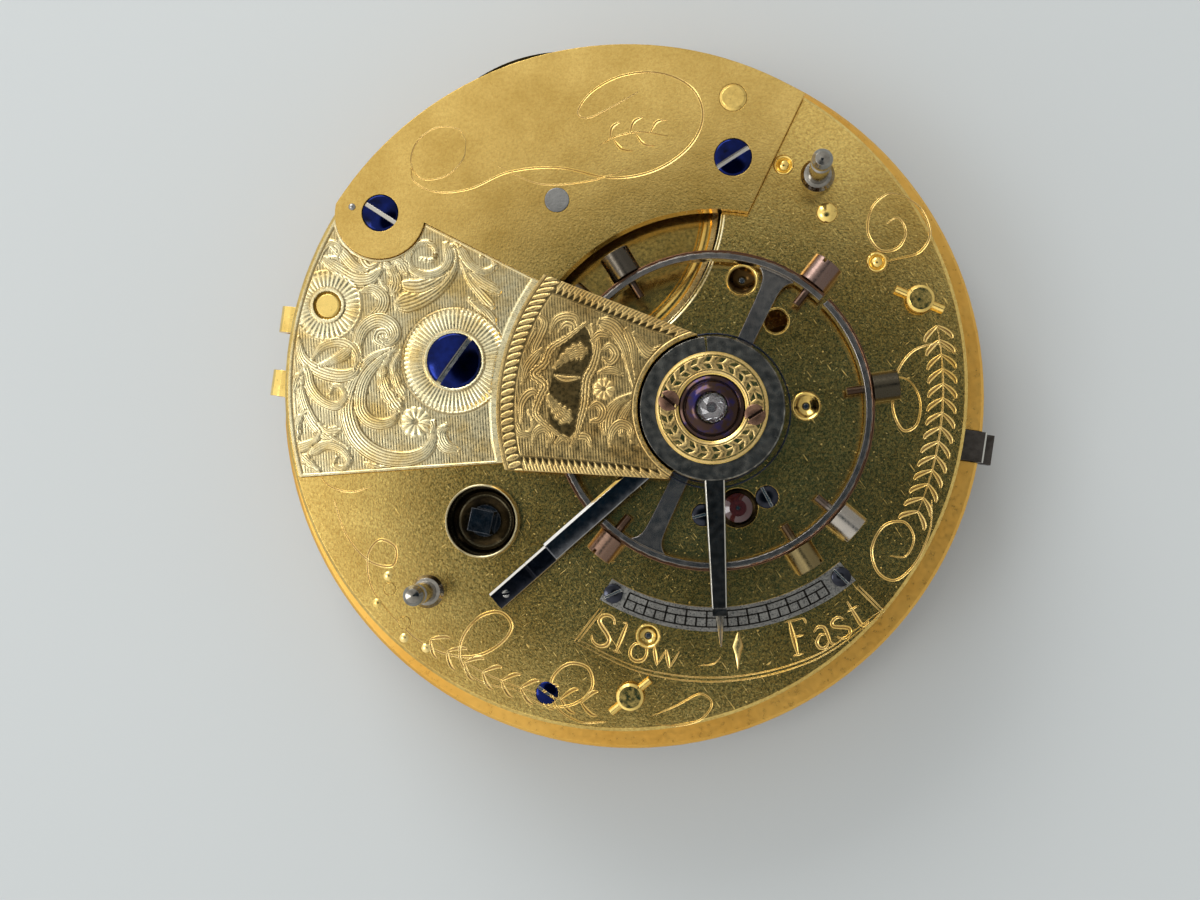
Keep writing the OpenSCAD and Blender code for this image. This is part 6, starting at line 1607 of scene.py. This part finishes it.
def chain_line(link):
    """Points a link apart along the chain, with their outward directions: up the fusee, across, and up
    the barrel."""
    pitch, high, thick = 0.95, 0.5, 0.3
    wide, narrow, cone_h, z_cone = 7.4, 4.2, 3.2, 5.43
    wraps_f, wraps_b = 1.6, 1.4
    lay = thick / 2 + 0.06
    z_run = z_cone + high / 2 + 0.12 + wraps_f * pitch

    def cone(z):
        """The fusee's radius where the middle of the chain lies at height z."""
        return wide + (narrow - wide) * (z - high / 2 - z_cone) / cone_h

    r_f = cone(z_run) + lay
    r_b = 9.25 + lay
    gap = BARREL - FUSEE
    start = math.atan2(gap[1], gap[0]) + math.acos((r_f - r_b) / np.linalg.norm(gap))
    t = np.linspace(wraps_f, 0, 240)
    z = z_run - t * pitch
    a = start + 2 * np.pi * t
    on_fusee = np.column_stack([around(FUSEE, cone(z) + lay, a, z), a])
    t = np.linspace(0, wraps_b, 240)
    a = start - 2 * np.pi * t
    on_barrel = np.column_stack([around(BARREL, r_b, a, z_run + t * pitch), a])
    line = np.concatenate([on_fusee, on_barrel])
    step = np.linalg.norm(np.diff(line[:, :3], axis=0), axis=1)
    run = np.concatenate([[0], np.cumsum(step)])
    s = np.linspace(0, run[-1], int(run[-1] / link))
    return np.stack([np.interp(s, run, line[:, k]) for k in range(4)], -1)


class MOVEMENT_OT_chain(bpy.types.Operator):
    """Builds the fusee chain from plates and rivets"""

    bl_idname = "movement.chain"
    bl_label = "Fusee chain"

    def execute(self, context):
        line = chain_line(context.scene.movement_sizes.link_pitch)
        here, there = line[:-1], line[1:]
        along = there[:, :3] - here[:, :3]
        length = np.linalg.norm(along, axis=1, keepdims=True)
        along = along / length
        out = np.stack([np.cos(here[:, 3]), np.sin(here[:, 3]), np.zeros(len(here))], -1)
        up = np.cross(along, out)
        up = up / np.linalg.norm(up, axis=1, keepdims=True)
        up = np.where(up[:, 2:] < 0, -up, up)
        # Outline of a plate: two round eyes and a waist, seen along the rivets
        turn = np.linspace(0, 2 * np.pi, 16, endpoint=False)
        eye, eye_r, rivet_r, rivet_half = np.sign(np.cos(turn)) * 0.5, 0.14, 0.07, 0.27
        x = eye * length.mean() + eye_r * np.cos(turn)
        y = eye_r * np.sin(turn) * np.where(np.abs(np.cos(turn)) < 0.2, 0.7, 1.0)
        middle = 0.5 * (here[:, :3] + there[:, :3])
        shapes = []
        # Links take turns: one plate between, then two plates outside
        for k in range(2):
            m, a, o, w = (part[k::2, None, :] for part in (middle, along, out, up))
            flat = m + a * x[None, :, None] + o * y[None, :, None]
            for low, high in [(-0.07, 0.07)] if k else [(-0.25, -0.12), (0.12, 0.25)]:
                shapes.append(prisms(flat + w * low, flat + w * high))
        turn = np.linspace(0, 2 * np.pi, 8, endpoint=False)[None, :, None]
        spokes = out[:, None, :] * np.cos(turn) + along[:, None, :] * np.sin(turn)
        ring = here[:, None, :3] + rivet_r * spokes
        shapes.append(prisms(ring - up[:, None, :] * rivet_half, ring + up[:, None, :] * rivet_half))
        body = body_of(frame["nodes"]["fusee_chain"])[0]
        piece("fusee_chain_links", joined(shapes), "steel", body, ["fusee_chain"], 50)
        return {"FINISHED"}


# Light: the left and right side of the room, the dim patch overhead, and each lamp's name, place, size
# and power
ROOM_LEFT = (1.08, 1.08, 1.07, 1)
ROOM_RIGHT = (0.50, 0.50, 0.49, 1)
OVERHEAD = (0.012, 0.034, 0.055, 1)
LAMPS = [("window", (-0.26, -0.05, 0.42), 0.14, 0.28), ("ceiling", (-0.22, 0.46, 0.36), 0.34, 1.6)]
FLOOR_HALF = 1.5


def placed(thing, scene, side, top, back, at):
    """Puts an object in the scene: its own axes and its place, in metres, are the columns of its pose."""
    pose = np.eye(4)
    pose[:3] = np.stack([side, top, back, at], -1)
    thing.matrix_world = Matrix(pose.tolist())
    scene.collection.objects.link(thing)


class MOVEMENT_OT_stage(bpy.types.Operator):
    """Sets the floor, the lamps, the soft surroundings and the camera"""

    bl_idname = "movement.stage"
    bl_label = "Floor, light and camera"

    def execute(self, context):
        scene = context.scene
        scene.view_settings.view_transform = "Standard"
        low = CAD_BOX[0][2]
        span = np.linspace(-FLOOR_HALF, FLOOR_HALF, 9)
        u, v = np.meshgrid(span, span, indexing="ij")
        points = np.stack([u, v, np.full_like(u, low)], -1).reshape(-1, 3)
        mesh = bpy.data.meshes.new("floor")
        mesh.from_pydata(points.tolist(), [], grid_faces(len(span), len(span))[:, ::-1].tolist())
        # Pale paper, matt, with hardly seen clouds
        mat, tree = material("paper_pale")
        colour = tuple(scene.movement_colours.floor)
        clouds = noise(tree, coordinates(tree), 30.0, 2.0)
        tone = mixed(tree, clouds, colour, tuple(0.97 * c for c in colour))
        surface(tree, {"Roughness": 0.6, "Base Color": tone})
        mesh.materials.append(mat)
        floor = bpy.data.objects.new("floor", mesh)
        scene.collection.objects.link(floor)
        # Surroundings: a white room with a dim patch overhead, where the camera stood
        world = bpy.data.worlds.new("soft_room")
        scene.world = world
        world.use_nodes = True
        tree = world.node_tree
        tree.nodes.clear()
        ray = add_node(tree, "ShaderNodeTexCoord").outputs["Generated"]
        disc = gradient(tree, "SPHERICAL", {"vector_type": "TEXTURE", "Location": (0.005, 0.014, 0.0),
                                            "Scale": (0.325, 0.282, 1e6), "Vector": ray})
        patch = ramped(tree, disc, (0.19, grey(0.0)), (0.35, grey(1.0)))
        axis = add_node(tree, "ShaderNodeSeparateXYZ", {"Vector": ray})
        sides = {"From Min": -0.5, "From Max": 0.5, "To Min": 0.0, "To Max": 1.0, "Value": axis.outputs["X"]}
        across = add_node(tree, "ShaderNodeMapRange", sides).outputs["Result"]
        seen = mixed(tree, patch, mixed(tree, across, ROOM_LEFT, ROOM_RIGHT), OVERHEAD)
        sky = add_node(tree, "ShaderNodeBackground", {"Strength": 1.0, "Color": seen})
        add_node(tree, "ShaderNodeOutputWorld", {"Surface": sky.outputs["Background"]})
        # A small lamp from the left gives the glints on the screws, a broad one behind the faint shadows
        for name, at, size, power in LAMPS:
            lamp = bpy.data.lights.new(name, "AREA")
            lamp.size = size
            lamp.energy = power
            back = np.array(at) / np.linalg.norm(at)
            side = np.cross([0.0, 0.0, 1.0], back)
            side = side / np.linalg.norm(side)
            placed(bpy.data.objects.new(name, lamp), scene, side, np.cross(back, side), back, at)
        lens = bpy.data.cameras.new("camera")
        lens.sensor_width = CAM_SENSOR
        lens.lens = CAM_SENSOR * CAM_FOCUS / PICTURE[0]
        lens.clip_start = 0.005
        lens.clip_end = 20.0
        camera = bpy.data.objects.new("camera", lens)
        placed(camera, scene, CAM_RIGHT, CAM_UP, -CAM_AIM, CAM_AT * MM)
        scene.camera = camera
        return {"FINISHED"}


class MOVEMENT_PT_panel(bpy.types.Panel):
    """Lists the pieces of the movement"""

    bl_idname = "MOVEMENT_PT_panel"
    bl_label = "Pocket watch movement"
    bl_space_type = "VIEW_3D"
    bl_region_type = "UI"
    bl_category = "Movement"

    def draw(self, context):
        for group in (context.scene.movement_sizes, context.scene.movement_colours):
            for name in group.__annotations__:
                self.layout.prop(group, name)
        for operator in OPERATORS:
            self.layout.operator(operator.bl_idname)


OPERATORS = (
    MOVEMENT_OT_stage,
    MOVEMENT_OT_finishes,
    MOVEMENT_OT_cock_foot,
    MOVEMENT_OT_cock_table,
    MOVEMENT_OT_jewel_ring,
    MOVEMENT_OT_screws,
    MOVEMENT_OT_turned_brass,
    MOVEMENT_OT_steel_arms,
    MOVEMENT_OT_balance,
    MOVEMENT_OT_plate_strokes,
    MOVEMENT_OT_index_divisions,
    MOVEMENT_OT_springs,
    MOVEMENT_OT_chain,
)
CLASSES = (MovementSizes, MovementColours) + OPERATORS + (MOVEMENT_PT_panel,)


def register():
    """Adds the classes, and the settings to every scene."""
    for cls in CLASSES:
        bpy.utils.register_class(cls)
    bpy.types.Scene.movement_sizes = bpy.props.PointerProperty(type=MovementSizes)
    bpy.types.Scene.movement_colours = bpy.props.PointerProperty(type=MovementColours)


def unregister():
    """Takes the settings and the classes away again."""
    del bpy.types.Scene.movement_colours
    del bpy.types.Scene.movement_sizes
    for cls in reversed(CLASSES):
        bpy.utils.unregister_class(cls)


def main():
    register()
    bpy.ops.movement.stage()
    bpy.ops.movement.finishes()
    bpy.ops.movement.cock_foot()
    bpy.ops.movement.cock_table()
    bpy.ops.movement.jewel_ring()
    bpy.ops.movement.screws()
    bpy.ops.movement.turned_brass()
    bpy.ops.movement.steel_arms()
    bpy.ops.movement.balance()
    bpy.ops.movement.plate_strokes()
    bpy.ops.movement.index_divisions()
    bpy.ops.movement.springs()
    bpy.ops.movement.chain()


if __name__ == "__main__":
    main()
